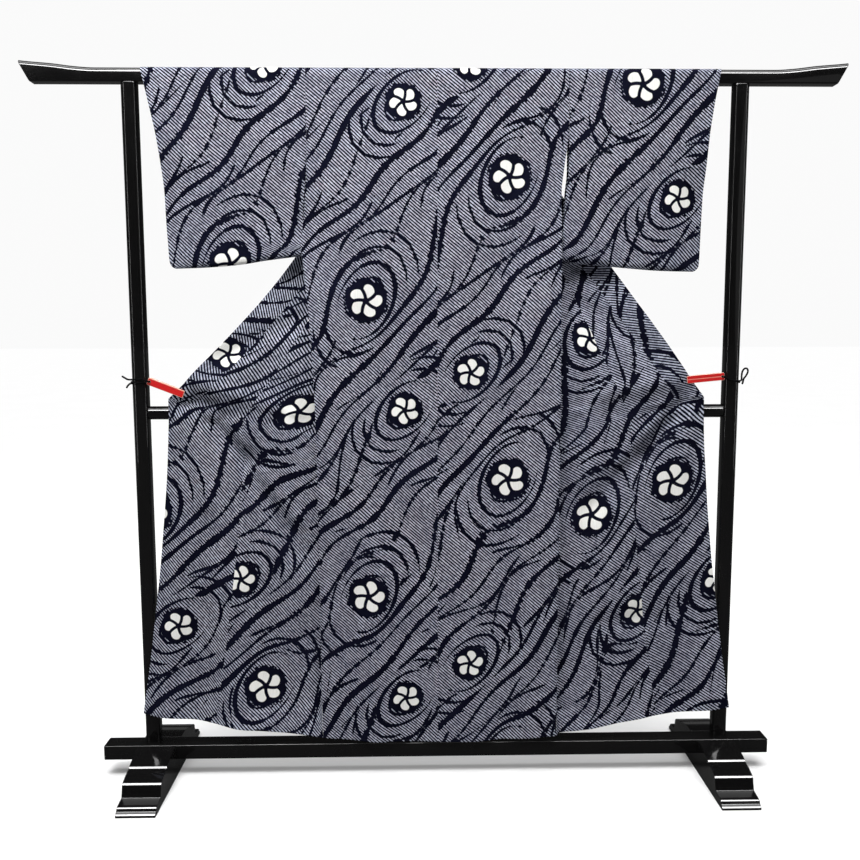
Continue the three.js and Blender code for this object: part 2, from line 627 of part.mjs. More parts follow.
// One clip: two jaws either side of the cloth and the pivot between them, lying from the post to the cloth.
function addClip(group, side) {
  const { tail, tip } = clipPlaces[side];
  const holder = new THREE.Group();
  const slope = Math.atan2(tip[1] - tail[1], tip[0] - tail[0]);
  holder.position.set(sides[side] * tail[0], clipDepth, tail[1]);
  holder.rotation.y = side === 'right' ? -slope : slope + Math.PI;
  const front = new THREE.Mesh(jawGeometry(), redPlastic());
  front.name = `clip_${side}_front`;
  front.position.y = -clip.clothSpace / 2;
  const back = new THREE.Mesh(jawGeometry(), redPlastic());
  back.name = `clip_${side}_back`;
  back.position.y = clip.clothSpace / 2 + clip.jaw;
  const pin = new THREE.Mesh(new THREE.CylinderGeometry(clip.pin, clip.pin, clip.clothSpace - 2 * gap, 16),
    steelPin());
  pin.name = `clip_${side}_pin`;
  pin.position.x = clip.pinFromTail;
  holder.add(front, back, pin);
  group.add(holder);
}

// The ties, from one free end to the other: out from the centre line, depth and height.
const tieRadius = 1.2;
const tieRoutes = {
  left: [
    [756, -14, 1004], [748, -16, 999.5], [741, -17, 996], [734, -19.5, 995.5], [724, -21, 996],
    [714, -20.5, 996],
    [704, -24, 996.5], [694, -36, 995], [685, -44, 992.5], [683.2, -38, 991.6], [683.2, -27, 991.6],
    [686, -18, 992], [693.5, -8, 993], [694.5, 4, 993], [699, 16, 993], [708, 20, 992.5], [722, 20, 992],
    [731, 17, 991], [735.5, 6, 990], [735.5, -7, 989], [731, -16.5, 988.5], [722, -19.8, 988.5],
    [708, -19.8, 988], [698.5, -16, 987], [694.6, -6, 986.5], [694.6, 6, 986], [699, 17, 985.5],
    [709, 20.5, 985], [722, 20.5, 984.5], [732, 17, 984.5], [736.5, 5, 985], [739, -7, 985], [742, -14, 981],
    [745, -17, 975],
  ],
  right: [
    [738, -4, 983], [736.5, 4, 984.5], [732, 16.5, 985.5], [722, 20, 986.5], [708, 20, 988], [699, 16.5, 990],
    [694.8, 5, 993], [693.8, -8, 996], [687, -18, 999], [683.2, -27, 999.6], [683.2, -38, 999.6],
    [685, -44, 998.6], [694, -36, 995], [704, -24, 991], [714, -20.5, 989], [724, -20.5, 988],
    [734, -17.5, 988],
    [739, -12, 991], [740, -9, 1000], [742, -8, 1010], [747, -8, 1017], [753, -8, 1017], [755, -9, 1010],
    [750, -11, 1000], [744.5, -12, 993], [743, -11, 985], [742, -9, 979],
  ],
};

function tieGeometry(side) {
  const points = tieRoutes[side].map(([x, y, z]) => new THREE.Vector3(sides[side] * x, y, z));
  const route = new THREE.CatmullRomCurve3(points, false, 'centripetal');
  const shape = new THREE.Shape();
  shape.absarc(0, 0, tieRadius, 0, Math.PI * 2);
  const steps = Math.round(route.getLength() / 4);
  const swept = { steps, extrudePath: route, curveSegments: 4, bevelEnabled: false };
  return new THREE.ExtrudeGeometry(shape, swept);
}

// ---------------------------------------------------------------- assembly
const model = new THREE.Group();

function add(name, geometry, material, position = [0, 0, 0]) {
  const mesh = new THREE.Mesh(geometry, material());
  mesh.name = name;
  mesh.position.set(...position);
  model.add(mesh);
}

for (const side of Object.keys(sides)) {
  const x = sides[side] * post.x;
  add(`post_${side}`, postGeometry(), lacquer, [x, 0, 0]);
  const footStart = side === 'left' ? -foot.inner - foot.width : foot.inner;
  add(`foot_${side}`, footGeometry(), lacquer, [footStart, 0, 0]);
  add(`body_${side}`, wallAbout(mirrored(bodyGrid(side), side), cloth.wall), cotton);
  add(`okumi_${side}`, wallAbout(mirrored(okumiGrid(side), side), cloth.wall), cotton);
  add(`sleeve_${side}`, sleeve(side), cotton);
  addClip(model, side);
  add(`tie_${side}`, tieGeometry(side), blackCord);
}
add('rail', railGeometry(), lacquer);
add('crossbar', crossbarGeometry(), lacquer, [0, 0, crossbar.z]);
add('beam', beamGeometry(), lacquer);
add('collar', wallAbout(collarGrid(), cloth.collarWall), cotton);

export default model;
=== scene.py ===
# A cotton yukata on a black lacquered kimono stand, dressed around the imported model. Metres, +Z up.
import math
import bpy
import bmesh
import numpy as np
from mathutils import Matrix


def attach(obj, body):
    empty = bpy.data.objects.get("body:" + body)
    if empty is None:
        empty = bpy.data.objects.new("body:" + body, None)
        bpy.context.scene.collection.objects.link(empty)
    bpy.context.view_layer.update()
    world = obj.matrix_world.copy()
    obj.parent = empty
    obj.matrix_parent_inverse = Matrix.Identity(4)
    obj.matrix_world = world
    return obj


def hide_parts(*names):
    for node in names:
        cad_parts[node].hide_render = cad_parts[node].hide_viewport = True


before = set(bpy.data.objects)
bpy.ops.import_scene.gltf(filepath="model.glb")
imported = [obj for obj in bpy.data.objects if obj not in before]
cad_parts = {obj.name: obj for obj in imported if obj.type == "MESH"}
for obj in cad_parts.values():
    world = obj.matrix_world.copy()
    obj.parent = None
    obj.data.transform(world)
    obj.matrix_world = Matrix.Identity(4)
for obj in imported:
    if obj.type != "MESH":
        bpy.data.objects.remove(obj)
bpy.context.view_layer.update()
sides = {"left": -1, "right": 1}
mm = 0.001

# camera: a standing viewer's height, level with the sleeves' lower edge
camera = {"place": (-0.0597, -2.1313, 1.1071), "yaw": 1.118, "pitch": 6.366, "roll": -0.125,
          "lens": 36.77, "sensor": 36.0, "farClip": 200}


def addObject(name, data):
    made = bpy.data.objects.new(name, data)
    bpy.context.scene.collection.objects.link(made)
    return made


def turnedTo(right, up, back, place):
    # a world matrix from three square directions and a place
    turn = np.eye(4)
    turn[:3, 0], turn[:3, 1], turn[:3, 2], turn[:3, 3] = right, up, back, place
    return Matrix(turn.tolist())


def makeCamera(c):
    yaw, pitch, roll = (math.radians(c[k]) for k in ("yaw", "pitch", "roll"))
    ahead = np.array([math.sin(yaw) * math.cos(pitch), math.cos(yaw) * math.cos(pitch), -math.sin(pitch)])
    right = np.array([math.cos(yaw), -math.sin(yaw), 0.0])
    up = np.cross(right, ahead)
    right, up = (right * math.cos(roll) + up * math.sin(roll), up * math.cos(roll) - right * math.sin(roll))
    data = bpy.data.cameras.new("viewCamera")
    data.lens, data.sensor_width, data.sensor_fit = c["lens"], c["sensor"], "HORIZONTAL"
    data.clip_end = c["farClip"]
    cam = addObject("viewCamera", data)
    cam.matrix_world = turnedTo(right, up, -ahead, c["place"])
    bpy.context.scene.camera = cam


makeCamera(camera)
print("camera placed")


# small numpy tools
def lerp(a, b, t):
    return a + (b - a) * t


def smooth(x, low, high):
    # the S-curve 3t^2 - 2t^3 between two limits
    t = np.clip((x - low) / (high - low), 0, 1)
    return t * t * (3 - 2 * t)


def spline(xs, values, at, limited=False):
    # cubic through table rows; each slope joins the neighbours, and a limited one never overshoots
    xs, values, at = np.asarray(xs, float), np.asarray(values, float), np.asarray(at, float)
    shape = (-1,) + (1,) * (values.ndim - 1)
    steps = np.diff(xs).reshape(shape)
    secants = np.diff(values, axis=0) / steps
    inner = (values[2:] - values[:-2]) / (steps[1:] + steps[:-1])
    slopes = np.concatenate([secants[:1], inner, secants[-1:]])
    if limited:
        most = 3 * np.minimum(np.abs(secants[1:]), np.abs(secants[:-1]))
        same = secants[1:] * secants[:-1] > 0
        slopes[1:-1] = np.where(same, np.clip(slopes[1:-1], -most, most), 0)
    i = np.clip(np.searchsorted(xs, at, side="right") - 1, 0, len(xs) - 2)
    shape = at.shape + (1,) * (values.ndim - 1)
    step = (xs[i + 1] - xs[i]).reshape(shape)
    t = np.clip((at - xs[i]).reshape(shape) / step, 0, 1)
    t2, t3 = t * t, t * t * t
    return ((2 * t3 - 3 * t2 + 1) * values[i] + (t3 - 2 * t2 + t) * slopes[i] * step
            + (3 * t2 - 2 * t3) * values[i + 1] + (t3 - t2) * slopes[i + 1] * step)


def unit(v):
    return v / np.maximum(np.linalg.norm(v, axis=-1, keepdims=True), 1e-12)


def runLength(points):
    # distance along a line of points, from its first one
    return np.concatenate([[0], np.cumsum(np.linalg.norm(np.diff(points, axis=0), axis=-1))])


# cloth: sizes in millimetres, the same as the solids'
cloth = {"wall": 1.5, "shell": 0.9, "collarShell": 2.0, "hemFold": 12.0, "hemExtra": 0.5}
railCut = {"halfDepth": 16.5, "top": 1716.5, "round": 12.0, "gap": 0.3}
cut = {"hem": 1643, "sleeveSeam": 230, "sideSeam": 365, "neckHalf": 90, "neckStart": 50, "neckEnd": 85,
       "turned": 125, "okumiTip": 238, "collarEnd": 880, "collarWidth": 55, "frontTop": 255, "frontEnd": 268,
       "frontHem": 270, "fullWidth": 447, "widthAtEnd": 389, "foldRound": 9, "shortestTuck": 12,
       "longestTuck": 400, "seamClear": 0.2, "cornerLift": 15, "underCollar": 12.5, "collarSeam": 0.03}
hang = {"backDepth": -27, "hemDepth": -31, "settled": 420, "leanFrom": 800, "wavesFrom": 350,
        "flatMiddle": 0.25, "standOff": 38, "standBy": 0.07, "backFrom": 0.42, "backBy": 0.95,
        "riseCurve": 1.2}
# the tuck's slant above and below a level, in radians
tuckTilt = {"upper": 0.15, "lower": 0.07, "level": 700, "from": 200}
# the free edge below the collar, from its top to the hem
freeEdge = {"out": 641, "spread": 87, "depth": -32, "deeper": -2, "top": 952, "hem": 172,
            "drawn": (0.017, 0.11)}
# where the soft folds of a front begin and end, down it and across it
foldReach = {"from": 560, "side": 0.12, "edge": 0.9, "aboveHem": (560, 740)}
collarEndAt = np.array([577.0, -32.0, 945.0])
lapelAcross = np.array([0.8, 0.0, 0.6])
collarForm = {"neckAcross": np.array([0, 0.12, -1.0]), "besideNeck": np.array([0, 1.1, 0]),
              "endAcross": np.array([0.995, 0, 0.1]), "neckTurn": 0.3, "turnedBy": 0.15, "endFrom": 0.9}
collarSag = {"left": 52, "right": 0}
bodyEdges = {
    "left": {"down": [0, 230, 330, 420, 480, 620, 840, 1100, 1643],
             "edge": [305, 306, 312, 322, 316, 302, 292, 289, 287],
             "seam": [-18, -18, -18, -20, -25, -37, -46, -43, -35]},
    "right": {"down": [0, 150, 200, 260, 420, 480, 620, 840, 1100, 1643],
              "edge": [308, 308, 307, 294, 295, 295, 294, 293, 294, 295],
              "seam": [-18, -18, -18, -18, -20, -25, -37, -46, -43, -35]},
}
# soft folds of each spread front: place across it at the clip and the hem, depth there, width
frontFolds = {
    "left": [(0.62, 0.20, 9, 6, 0.16), (0.75, 0.46, -2, -13, 0.12), (0.85, 0.68, 2, 10, 0.10),
             (0.95, 0.89, 0, -11, 0.09)],
    "right": [(0.60, 0.22, 9, -5, 0.16), (0.78, 0.42, 2, 11, 0.14), (0.88, 0.66, 0, 21, 0.14),
              (0.97, 0.95, 0, -6, 0.08)],
}
# hanging waves of each back panel: distance from the centre seam, depth at the hem, width
backWaves = {"left": [(60, 5, 38), (150, -6, 40), (232, 4, 32)],
             "right": [(70, -5, 40), (158, 5, 36), (235, -4, 30)]}

halfWall = cloth["wall"] / 2
halfGap = railCut["gap"] / 2
railHug = railCut["halfDepth"] + railCut["gap"] + halfWall
hugRound = railCut["round"] + railCut["gap"] + halfWall
shoulderTop = railCut["top"] + railCut["gap"] + halfWall
flatTop = railCut["halfDepth"] - railCut["round"]
overRail = flatTop + hugRound * math.pi / 2
topHeight = shoulderTop - hugRound + overRail
seamPoint = np.array([cut["neckHalf"], railHug, topHeight - cut["neckEnd"]])


def bodyEdge(side, down):
    return spline(bodyEdges[side]["down"], bodyEdges[side]["edge"], down)


def seamDepth(side, down):
    return spline(bodyEdges[side]["down"], bodyEdges[side]["seam"], down)


def drawnUp(share, down):
    # the side is lifted by the spread front: lift * share^2 * (down / hem)^1.5
    return cut["cornerLift"] * share ** 2 * (down / cut["hem"]) ** 1.5


def backPoint(side, x, down):
    # a point of a back panel: over the rail's rounded top, then hanging free in slow waves
    turned = np.clip((down - flatTop) / hugRound, 0, math.pi / 2)
    railY = -(np.minimum(down, flatTop) + hugRound * np.sin(turned))
    z = shoulderTop - hugRound * (1 - np.cos(turned)) - np.maximum(down - overRail, 0)
    edge = bodyEdge(side, down)
    free = lerp(hang["backDepth"], hang["hemDepth"], smooth(down, hang["leanFrom"], cut["hem"]))
    middle = lerp(railY, free, smooth(down, overRail, hang["settled"]))
    atEdge = lerp(railY, seamDepth(side, down) - halfWall - halfGap,
                  smooth(down, cut["sleeveSeam"], cut["sideSeam"]))
    y = lerp(middle, atEdge, smooth(x / edge, hang["flatMiddle"], 1))
    for place, deep, wide in backWaves[side]:
        y = y + deep * smooth(down, hang["wavesFrom"], cut["hem"]) * np.exp(-(((x - place) / wide) ** 2))
    return np.stack(np.broadcast_arrays(x, y, z + drawnUp(x / edge, down)), -1)


def acrossCollar(turn):
    # quadratic blend: down behind the neck, outwards beside it, then along the spread front
    t = np.clip(turn, 0, 1)[..., None]
    return unit(collarForm["neckAcross"] * (1 - t) ** 2 + collarForm["besideNeck"] * 2 * t * (1 - t)
                + lapelAcross * t * t)


def collarAt(side, down):
    # the collar's seam, direction and width: a round corner behind the neck, then a sagging straight line
    down = np.asarray(down, float)
    corner = np.clip((down - cut["neckStart"]) / (cut["neckEnd"] - cut["neckStart"]), 0, 1)
    behind = np.stack([cut["neckHalf"] * np.sqrt(1 - (1 - corner) ** 2), np.full_like(down, railHug),
                       topHeight - down], -1)
    t = np.clip((down - cut["neckEnd"]) / (cut["collarEnd"] - cut["neckEnd"]), 0, 1)
    sag = collarSag[side] * 4 * t * (1 - t)
    line = lerp(seamPoint, collarEndAt, t[:, None]) - lapelAcross * sag[:, None]
    standing = lerp(railHug, hang["standOff"], smooth(t, 0, hang["standBy"]))
    line[:, 1] = lerp(standing, collarEndAt[1], smooth(t, hang["backFrom"], hang["backBy"]))
    ending = smooth(t, collarForm["endFrom"], 1)
    neckTurn = collarForm["neckTurn"]
    across = acrossCollar(neckTurn + (1 - neckTurn) * smooth(t, 0, collarForm["turnedBy"]))
    across = unit(lerp(across, collarForm["endAcross"], ending[:, None]))
    width = lerp(cut["collarWidth"], cut["collarWidth"] / (across @ lapelAcross), ending)
    neck = down <= cut["neckEnd"]
    across = np.where(neck[:, None], acrossCollar(neckTurn * corner), across)
    return np.where(neck[:, None], behind, line), across, np.where(neck, cut["collarWidth"], width)


def turnedPath(start, end, tuck, heading):
    # a straight tuck, a round turn back about a centre, then a straight line to the end
    radius = cut["foldRound"]
    ahead = np.stack([np.cos(heading), np.sin(heading)], -1)
    turnAt = start + ahead * tuck[:, None]
    centre = turnAt + np.stack([np.sin(heading), -np.cos(heading)], -1) * radius
    toEnd = end - centre
    # the end always lies just outside the circle of the turn
    reach = np.maximum(np.hypot(toEnd[:, 0], toEnd[:, 1]), radius * 1.001)
    leaving = np.arctan2(toEnd[:, 1], toEnd[:, 0]) - np.arcsin(radius / reach)
    turned = np.maximum(heading - leaving, 0) * radius
    straight = np.sqrt(reach ** 2 - radius ** 2)
    return {"start": start, "turnAt": turnAt, "centre": centre, "end": end, "heading": heading, "tuck": tuck,
            "turned": turned, "straight": straight, "length": tuck + turned + straight}


halvings = 40


def bisect(low, high, wanted, value):
    # halving until the rising function meets the wanted value
    for _ in range(halvings):
        middle = (low + high) / 2
        under = value(middle) < wanted
        low, high = np.where(under, middle, low), np.where(under, high, middle)
    return (low + high) / 2


def frontLevels(side, down):
    # every level of a front at once: where it starts, how wide the cloth is, and the path it takes
    down = np.asarray(down, float)
    edge = bodyEdge(side, down)
    low = np.clip((down - cut["collarEnd"]) / (cut["hem"] - cut["collarEnd"]), 0, 1)
    e = freeEdge
    lowZ = lerp(e["top"], e["hem"], low) + cut["underCollar"] * (1 - smooth(low, *e["drawn"]))
    lowEdge = np.stack([e["out"] + e["spread"] * low ** 1.5, e["depth"] + e["deeper"] * low, lowZ], -1)
    end = np.where((down <= cut["collarEnd"])[:, None], collarAt(side, down)[0], lowEdge)
    startZ = topHeight - down + drawnUp(1.0, down)
    shoulder = bodyEdge(side, cut["neckEnd"]) - cut["neckHalf"]
    toSeam = np.clip((down - cut["sleeveSeam"]) / (cut["collarEnd"] - cut["sleeveSeam"]), 0, 1)
    above = lerp(cut["frontTop"], cut["frontEnd"], smooth(down, cut["sleeveSeam"], cut["collarEnd"]))
    frontWidth = np.where(down < cut["collarEnd"], above, lerp(cut["frontEnd"], cut["frontHem"], low))
    upper = lerp(shoulder, cut["frontTop"], (down - cut["neckEnd"]) / (cut["sleeveSeam"] - cut["neckEnd"]))
    width = np.where(down < cut["sleeveSeam"], upper, lerp(cut["frontTop"], cut["widthAtEnd"], toSeam))
    width = np.where(down > cut["collarEnd"], cut["fullWidth"], width)
    planWidth = np.sqrt(width ** 2 - (end[:, 2] - startZ) ** 2)
    goal = end[:, :2]
    seamed = smooth(down, cut["sleeveSeam"], cut["sideSeam"])[:, None]
    depth = seamDepth(side, down)
    slant = tuckTilt["upper"] * smooth(down, tuckTilt["from"], cut["sideSeam"])
    inward = math.pi - np.where(down < tuckTilt["level"], slant, tuckTilt["lower"])

    def startAt(heading):
        joined = np.stack([edge + cut["seamClear"] * np.cos(heading / 2) + halfWall * np.sin(heading),
                           depth + cut["seamClear"] * np.sin(heading / 2) - halfWall * np.cos(heading)], -1)
        return lerp(np.stack([edge - halfGap, np.full_like(edge, railHug)], -1), joined, seamed)

    def path(tuck, heading):
        return turnedPath(startAt(heading), goal, tuck, heading)

    short = np.full_like(down, float(cut["shortestTuck"]))
    fits = path(short, inward)["length"] <= planWidth
    tuck = bisect(short, np.full_like(down, float(cut["longestTuck"])), planWidth,
                  lambda t: path(t, inward)["length"])
    heading = bisect(np.zeros_like(down), inward, planWidth, lambda h: path(short, h)["length"])
    found = path(np.where(fits, tuck, short), np.where(fits, inward, heading))
    flatStart = startAt(np.full_like(down, math.pi))
    return {"side": side, "down": down, "low": low, "edge": edge, "end": end, "startZ": startZ,
            "width": width, "frontWidth": frontWidth, "planWidth": planWidth, "path": found,
            "flat": down <= cut["turned"], "flatStart": flatStart}


def pointsOnFront(level, distance):
    # cloth at flat distances (levels x columns) from the side seam, with the front's soft folds
    p = level["path"]
    share = np.clip(distance / level["width"][:, None], 0, 1)
    run = share * p["length"][:, None]
    tuck, turned = p["tuck"][:, None], p["turned"][:, None]
    angle = (p["heading"][:, None] - np.clip(run - tuck, 0, turned) / cut["foldRound"])[..., None]
    start, turnAt, centre, end = (p[k][:, None, :] for k in ("start", "turnAt", "centre", "end"))
    onTuck = lerp(start, turnAt, np.clip(run / tuck, 0, 1)[..., None])
    onTurn = centre + np.concatenate([-np.sin(angle), np.cos(angle)], -1) * cut["foldRound"]
    onLine = lerp(onTurn, end, np.clip((run - tuck - turned) / p["straight"][:, None], 0, 1)[..., None])
    turning = np.where((run <= tuck + turned)[..., None], onTurn, onLine)
    folded = np.where((run <= tuck)[..., None], onTuck, turning)
    straight = lerp(level["flatStart"][:, None, :], end, share[..., None])
    plan = np.where(level["flat"][:, None, None], straight, folded)
    edge, ends = level["edge"][:, None], level["end"]
    across = np.clip((plan[..., 0] - edge) / (ends[:, :1] - edge), 0, 1)
    down, low = level["down"][:, None], level["low"][:, None]
    atEdge = smooth(across, foldReach["edge"], 1) * smooth(cut["hem"] - down, *foldReach["aboveHem"])
    growing = (smooth(down, foldReach["from"], cut["collarEnd"]) * smooth(across, 0, foldReach["side"])
               * (1 - atEdge))
    y = plan[..., 1]
    for atClip, atHem, deepClip, deepHem, wide in frontFolds[level["side"]]:
        fold = (across - lerp(atClip, atHem, low)) / wide
        y = y + growing * lerp(deepClip, deepHem, low) * np.exp(-(fold ** 2))
    z = level["startZ"][:, None] + (ends[:, 2:] - level["startZ"][:, None]) * share ** hang["riseCurve"]
    return np.stack([plan[..., 0], y, z], -1)


# levels down the cloth, in millimetres from the top, and columns across a panel
bodyColumns = 11
okumiColumns = 4
collarColumns = 5
backDowns = [1643, 1540, 1430, 1310, 1190, 1070, 950, 850, 750, 650, 560, 480, 420, 365, 300, 230, 160, 95,
             50]
topAngles = np.radians([90, 72, 54, 36, 18, 0])
neckDowns = [50, 53, 59, 69, 85]
seamDowns = [100, 118, 140, 165, 195, 229]
lapelDowns = [247, 280, 320, 365, 410, 460, 515, 575, 640, 705, 770, 830, 850, 865, 874, 878.5, 880]
lowerDowns = [893, 940, 1010, 1090, 1170, 1250, 1330, 1410, 1490, 1570, 1643]
columnEvenness = {"turnFrom": 2, "turnTo": 20, "least": 0.12}


def frontColumns(level, reach):
    # flat distances of the columns, closer together round the turn
    stretch = level["width"] / np.where(level["flat"], level["planWidth"], level["path"]["length"])
    tuck = np.where(level["flat"], reach, np.minimum(level["path"]["tuck"] * stretch, reach))
    turned = np.where(level["flat"], 0, np.minimum(level["path"]["turned"] * stretch, reach - tuck))
    rest = reach - tuck - turned
    folded = [tuck * n / 3 for n in range(4)] + [tuck + turned * n / 4 for n in range(1, 5)]
    folded += [tuck + turned + rest * n / 4 for n in range(1, 5)]
    realTurn = np.where(level["flat"], 0, level["path"]["turned"])
    evenness = np.maximum(1 - smooth(realTurn, columnEvenness["turnFrom"], columnEvenness["turnTo"]),
                          columnEvenness["least"])
    even = reach[:, None] * np.arange(bodyColumns + 1) / bodyColumns
    return lerp(np.stack(folded, -1), even, evenness[:, None])


def bodyRows(side):
    # back, over the rail and down the front: points, flat distance from the side seam line, bolt length
    t = np.arange(bodyColumns + 1) / bodyColumns
    backs = np.array(backDowns, float)
    edge = bodyEdge(side, backs)[:, None]
    x = lerp(edge, 0.0, t)
    points, away, bolt = [backPoint(side, x, backs[:, None])], [x], [backs]
    for sign, angles in ((-1, topAngles), (1, topAngles[::-1])):
        edge = bodyEdge(side, overRail * angles / (math.pi / 2))[:, None]
        x = lerp(edge, 0.0, t)
        y = np.broadcast_to(sign * (flatTop + hugRound * np.sin(angles))[:, None], x.shape)
        z = np.broadcast_to((shoulderTop - hugRound * (1 - np.cos(angles)))[:, None], x.shape)
        points.append(np.stack([x, y, z], -1))
        away.append(x)
        bolt.append(-sign * (flatTop + hugRound * angles))
    necks = np.array(neckDowns, float)
    edge = bodyEdge(side, necks)[:, None]
    x = lerp(edge, collarAt(side, necks)[0][:, :1], t)
    z = np.broadcast_to(topHeight - necks[:, None], x.shape)
    points.append(np.stack([x, np.full_like(x, railHug), z], -1))
    away.append(x)
    bolt.append(-necks)
    level = frontLevels(side, seamDowns + lapelDowns + lowerDowns)
    columns = frontColumns(level, np.minimum(level["frontWidth"], level["width"]))
    points.append(pointsOnFront(level, columns))
    away.append(bodyEdges[side]["edge"][0] - columns)
    bolt.append(-level["down"])
    return np.concatenate(points), np.concatenate(away), np.concatenate(bolt)


def okumiRows(side):
    # from the front's seam to the collar seam, then to the free front edge
    level = frontLevels(side, [cut["okumiTip"]] + lapelDowns + lowerDowns)
    start = level["frontWidth"]
    stop = np.maximum(level["width"], start + 2)
    distance = lerp(start[:, None], stop[:, None], np.arange(okumiColumns + 1) / okumiColumns)
    points, away, down = pointsOnFront(level, distance), distance - start[:, None], level["down"]
    # the step out under the collar's end stays straight
    i = 1 + len(lapelDowns)
    part = np.array([0.2, 0.4, 0.6, 0.8])

    def stepped(rows):
        between = lerp(rows[i - 1], rows[i], part.reshape((-1,) + (1,) * (rows.ndim - 1)))
        return np.concatenate([rows[:i], between, rows[i:]])

    return stepped(points), stepped(away), stepped(down)


def collarRows():
    # one band from clip to clip round the neck: points, distance across, distance from the neck's middle
    downs = neckDowns[1:] + seamDowns + [cut["okumiTip"]] + lapelDowns
    bySide = {"left": downs[::-1], "right": [cut["neckStart"]] + downs}
    seams, acrosses, widths = [], [], []
    for side in sides:
        seam, across, width = collarAt(side, bySide[side])
        flip = np.array([sides[side], 1, 1])
        seams.append(seam * flip)
        acrosses.append(across * flip)
        widths.append(width)
    seam, across, width = np.concatenate(seams), np.concatenate(acrosses), np.concatenate(widths)
    t = np.linspace(-cut["collarSeam"], 1, collarColumns)
    reach = width[:, None] * t
    points = seam[:, None, :] + across[:, None, :] * reach[..., None]
    along = runLength(points[:, collarColumns // 2])
    return points, np.broadcast_to(t * cut["collarWidth"], reach.shape), along - along[len(downs)]


# sleeves: edges by height and the bottom edge from the inner edge to the cuff
sleeveEdges = {
    "left": {"z": [1250, 1320, 1385, 1480, 1567, 1717], "inner": [318, 317, 317, 308, 306, 305.4],
             "cuff": [635, 638, 641, 645, 655, 686]},
    "right": {"z": [1250, 1338, 1400, 1480, 1590, 1717], "inner": [297, 298, 301, 309.4, 309.4, 309.4],
              "cuff": [629, 631, 632, 636, 643, 664]},
}
sleeveBottoms = {"left": {"x": [318, 398, 473, 544, 640], "z": [1287, 1278, 1267, 1261, 1257]},
                 "right": {"x": [297, 398, 535, 640], "z": [1272, 1263, 1252, 1249]}}
sleeveForm = {"slimBack": {"left": 11, "right": 14}, "slimInner": 5, "slimCuff": 12, "corner": 18,
              "heights": [1640, 1560, 1490, 1430, 1370, 1315], "bottomEdge": 1260, "middle": 0.75,
              "shares": [0, 0.14, 0.3, 0.46, 0.6, 0.73, 0.84, 0.93, 1], "opening": (1300, 1640),
              "sewnFrom": 0.72, "sewn": (1440, 1530), "cornerSoft": 0.8, "nearBottom": 12, "bottomRound": 3,
              "bottomSlim": 0.75}


def sleeveRows(side):
    # rings from the bottom seam up the front, over the rail and down the back, for shares from body to cuff
    f, edges = sleeveForm, sleeveEdges[side]
    shares, offset = np.array(f["shares"]), f["middle"]

    def half(toward, z):
        slim = f["slimBack"][side] if toward < 0 else lerp(f["slimInner"], f["slimCuff"], shares)
        opened = lerp(slim, railCut["halfDepth"] + railCut["gap"], smooth(z, *f["opening"]))
        sewn = smooth(shares, f["sewnFrom"], 1) * (1 - smooth(z, *f["sewn"]))
        return lerp(opened, railCut["gap"], sewn) + offset

    def edgeAt(name, z):
        return spline(edges["z"], edges[name], z)

    bottomX = lerp(edgeAt("inner", f["bottomEdge"]), edgeAt("cuff", f["bottomEdge"]), shares)
    bottom = spline(sleeveBottoms[side]["x"], sleeveBottoms[side]["z"], bottomX) + cloth["wall"]

    def ring(y, z):
        z = np.broadcast_to(z, shares.shape)
        into = np.clip((bottom + f["corner"] - z) / f["corner"], 0, 1)
        cuff = edgeAt("cuff", z) - f["corner"] * (1 - np.sqrt(1 - into ** 2)) * f["cornerSoft"]
        return np.stack([lerp(edgeAt("inner", z), cuff, shares), np.broadcast_to(y, shares.shape), z], -1)

    bend = railCut["round"] + railCut["gap"] + offset
    topZ = railCut["top"] - railCut["round"]
    low = bottom - offset
    front, back = half(1, bottom), half(-1, bottom)
    heights = [np.full_like(shares, z) for z in f["heights"]] + [bottom + f["nearBottom"]]
    rows = [ring((front - back) / 2, low), ring(front * f["bottomSlim"], low + f["bottomRound"])]
    rows += [ring(half(1, z), z) for z in heights[::-1]]
    rows += [ring(flatTop + bend * math.sin(a), topZ + bend * math.cos(a)) for a in topAngles]
    rows += [ring(-flatTop - bend * math.sin(a), topZ + bend * math.cos(a)) for a in topAngles[::-1]]
    rows += [ring(-half(-1, z), z) for z in heights]
    rows += [ring(-back * f["bottomSlim"], low + f["bottomRound"]), ring((front - back) / 2, low)]
    points = np.stack(rows)
    along = runLength(points[:, len(shares) // 2])
    top = len(heights) + 2 + len(topAngles) - 1
    return points, points[..., 0], along - (along[top] + along[top + 1]) / 2


# refining: the same rows and columns, carried through smoothly at a finer step
nearRim = np.array([0.04, 0.12])
rowsAtHem = np.array([2.0, cloth["hemFold"] - 1, cloth["hemFold"] + 1])
closestRows = 0.4


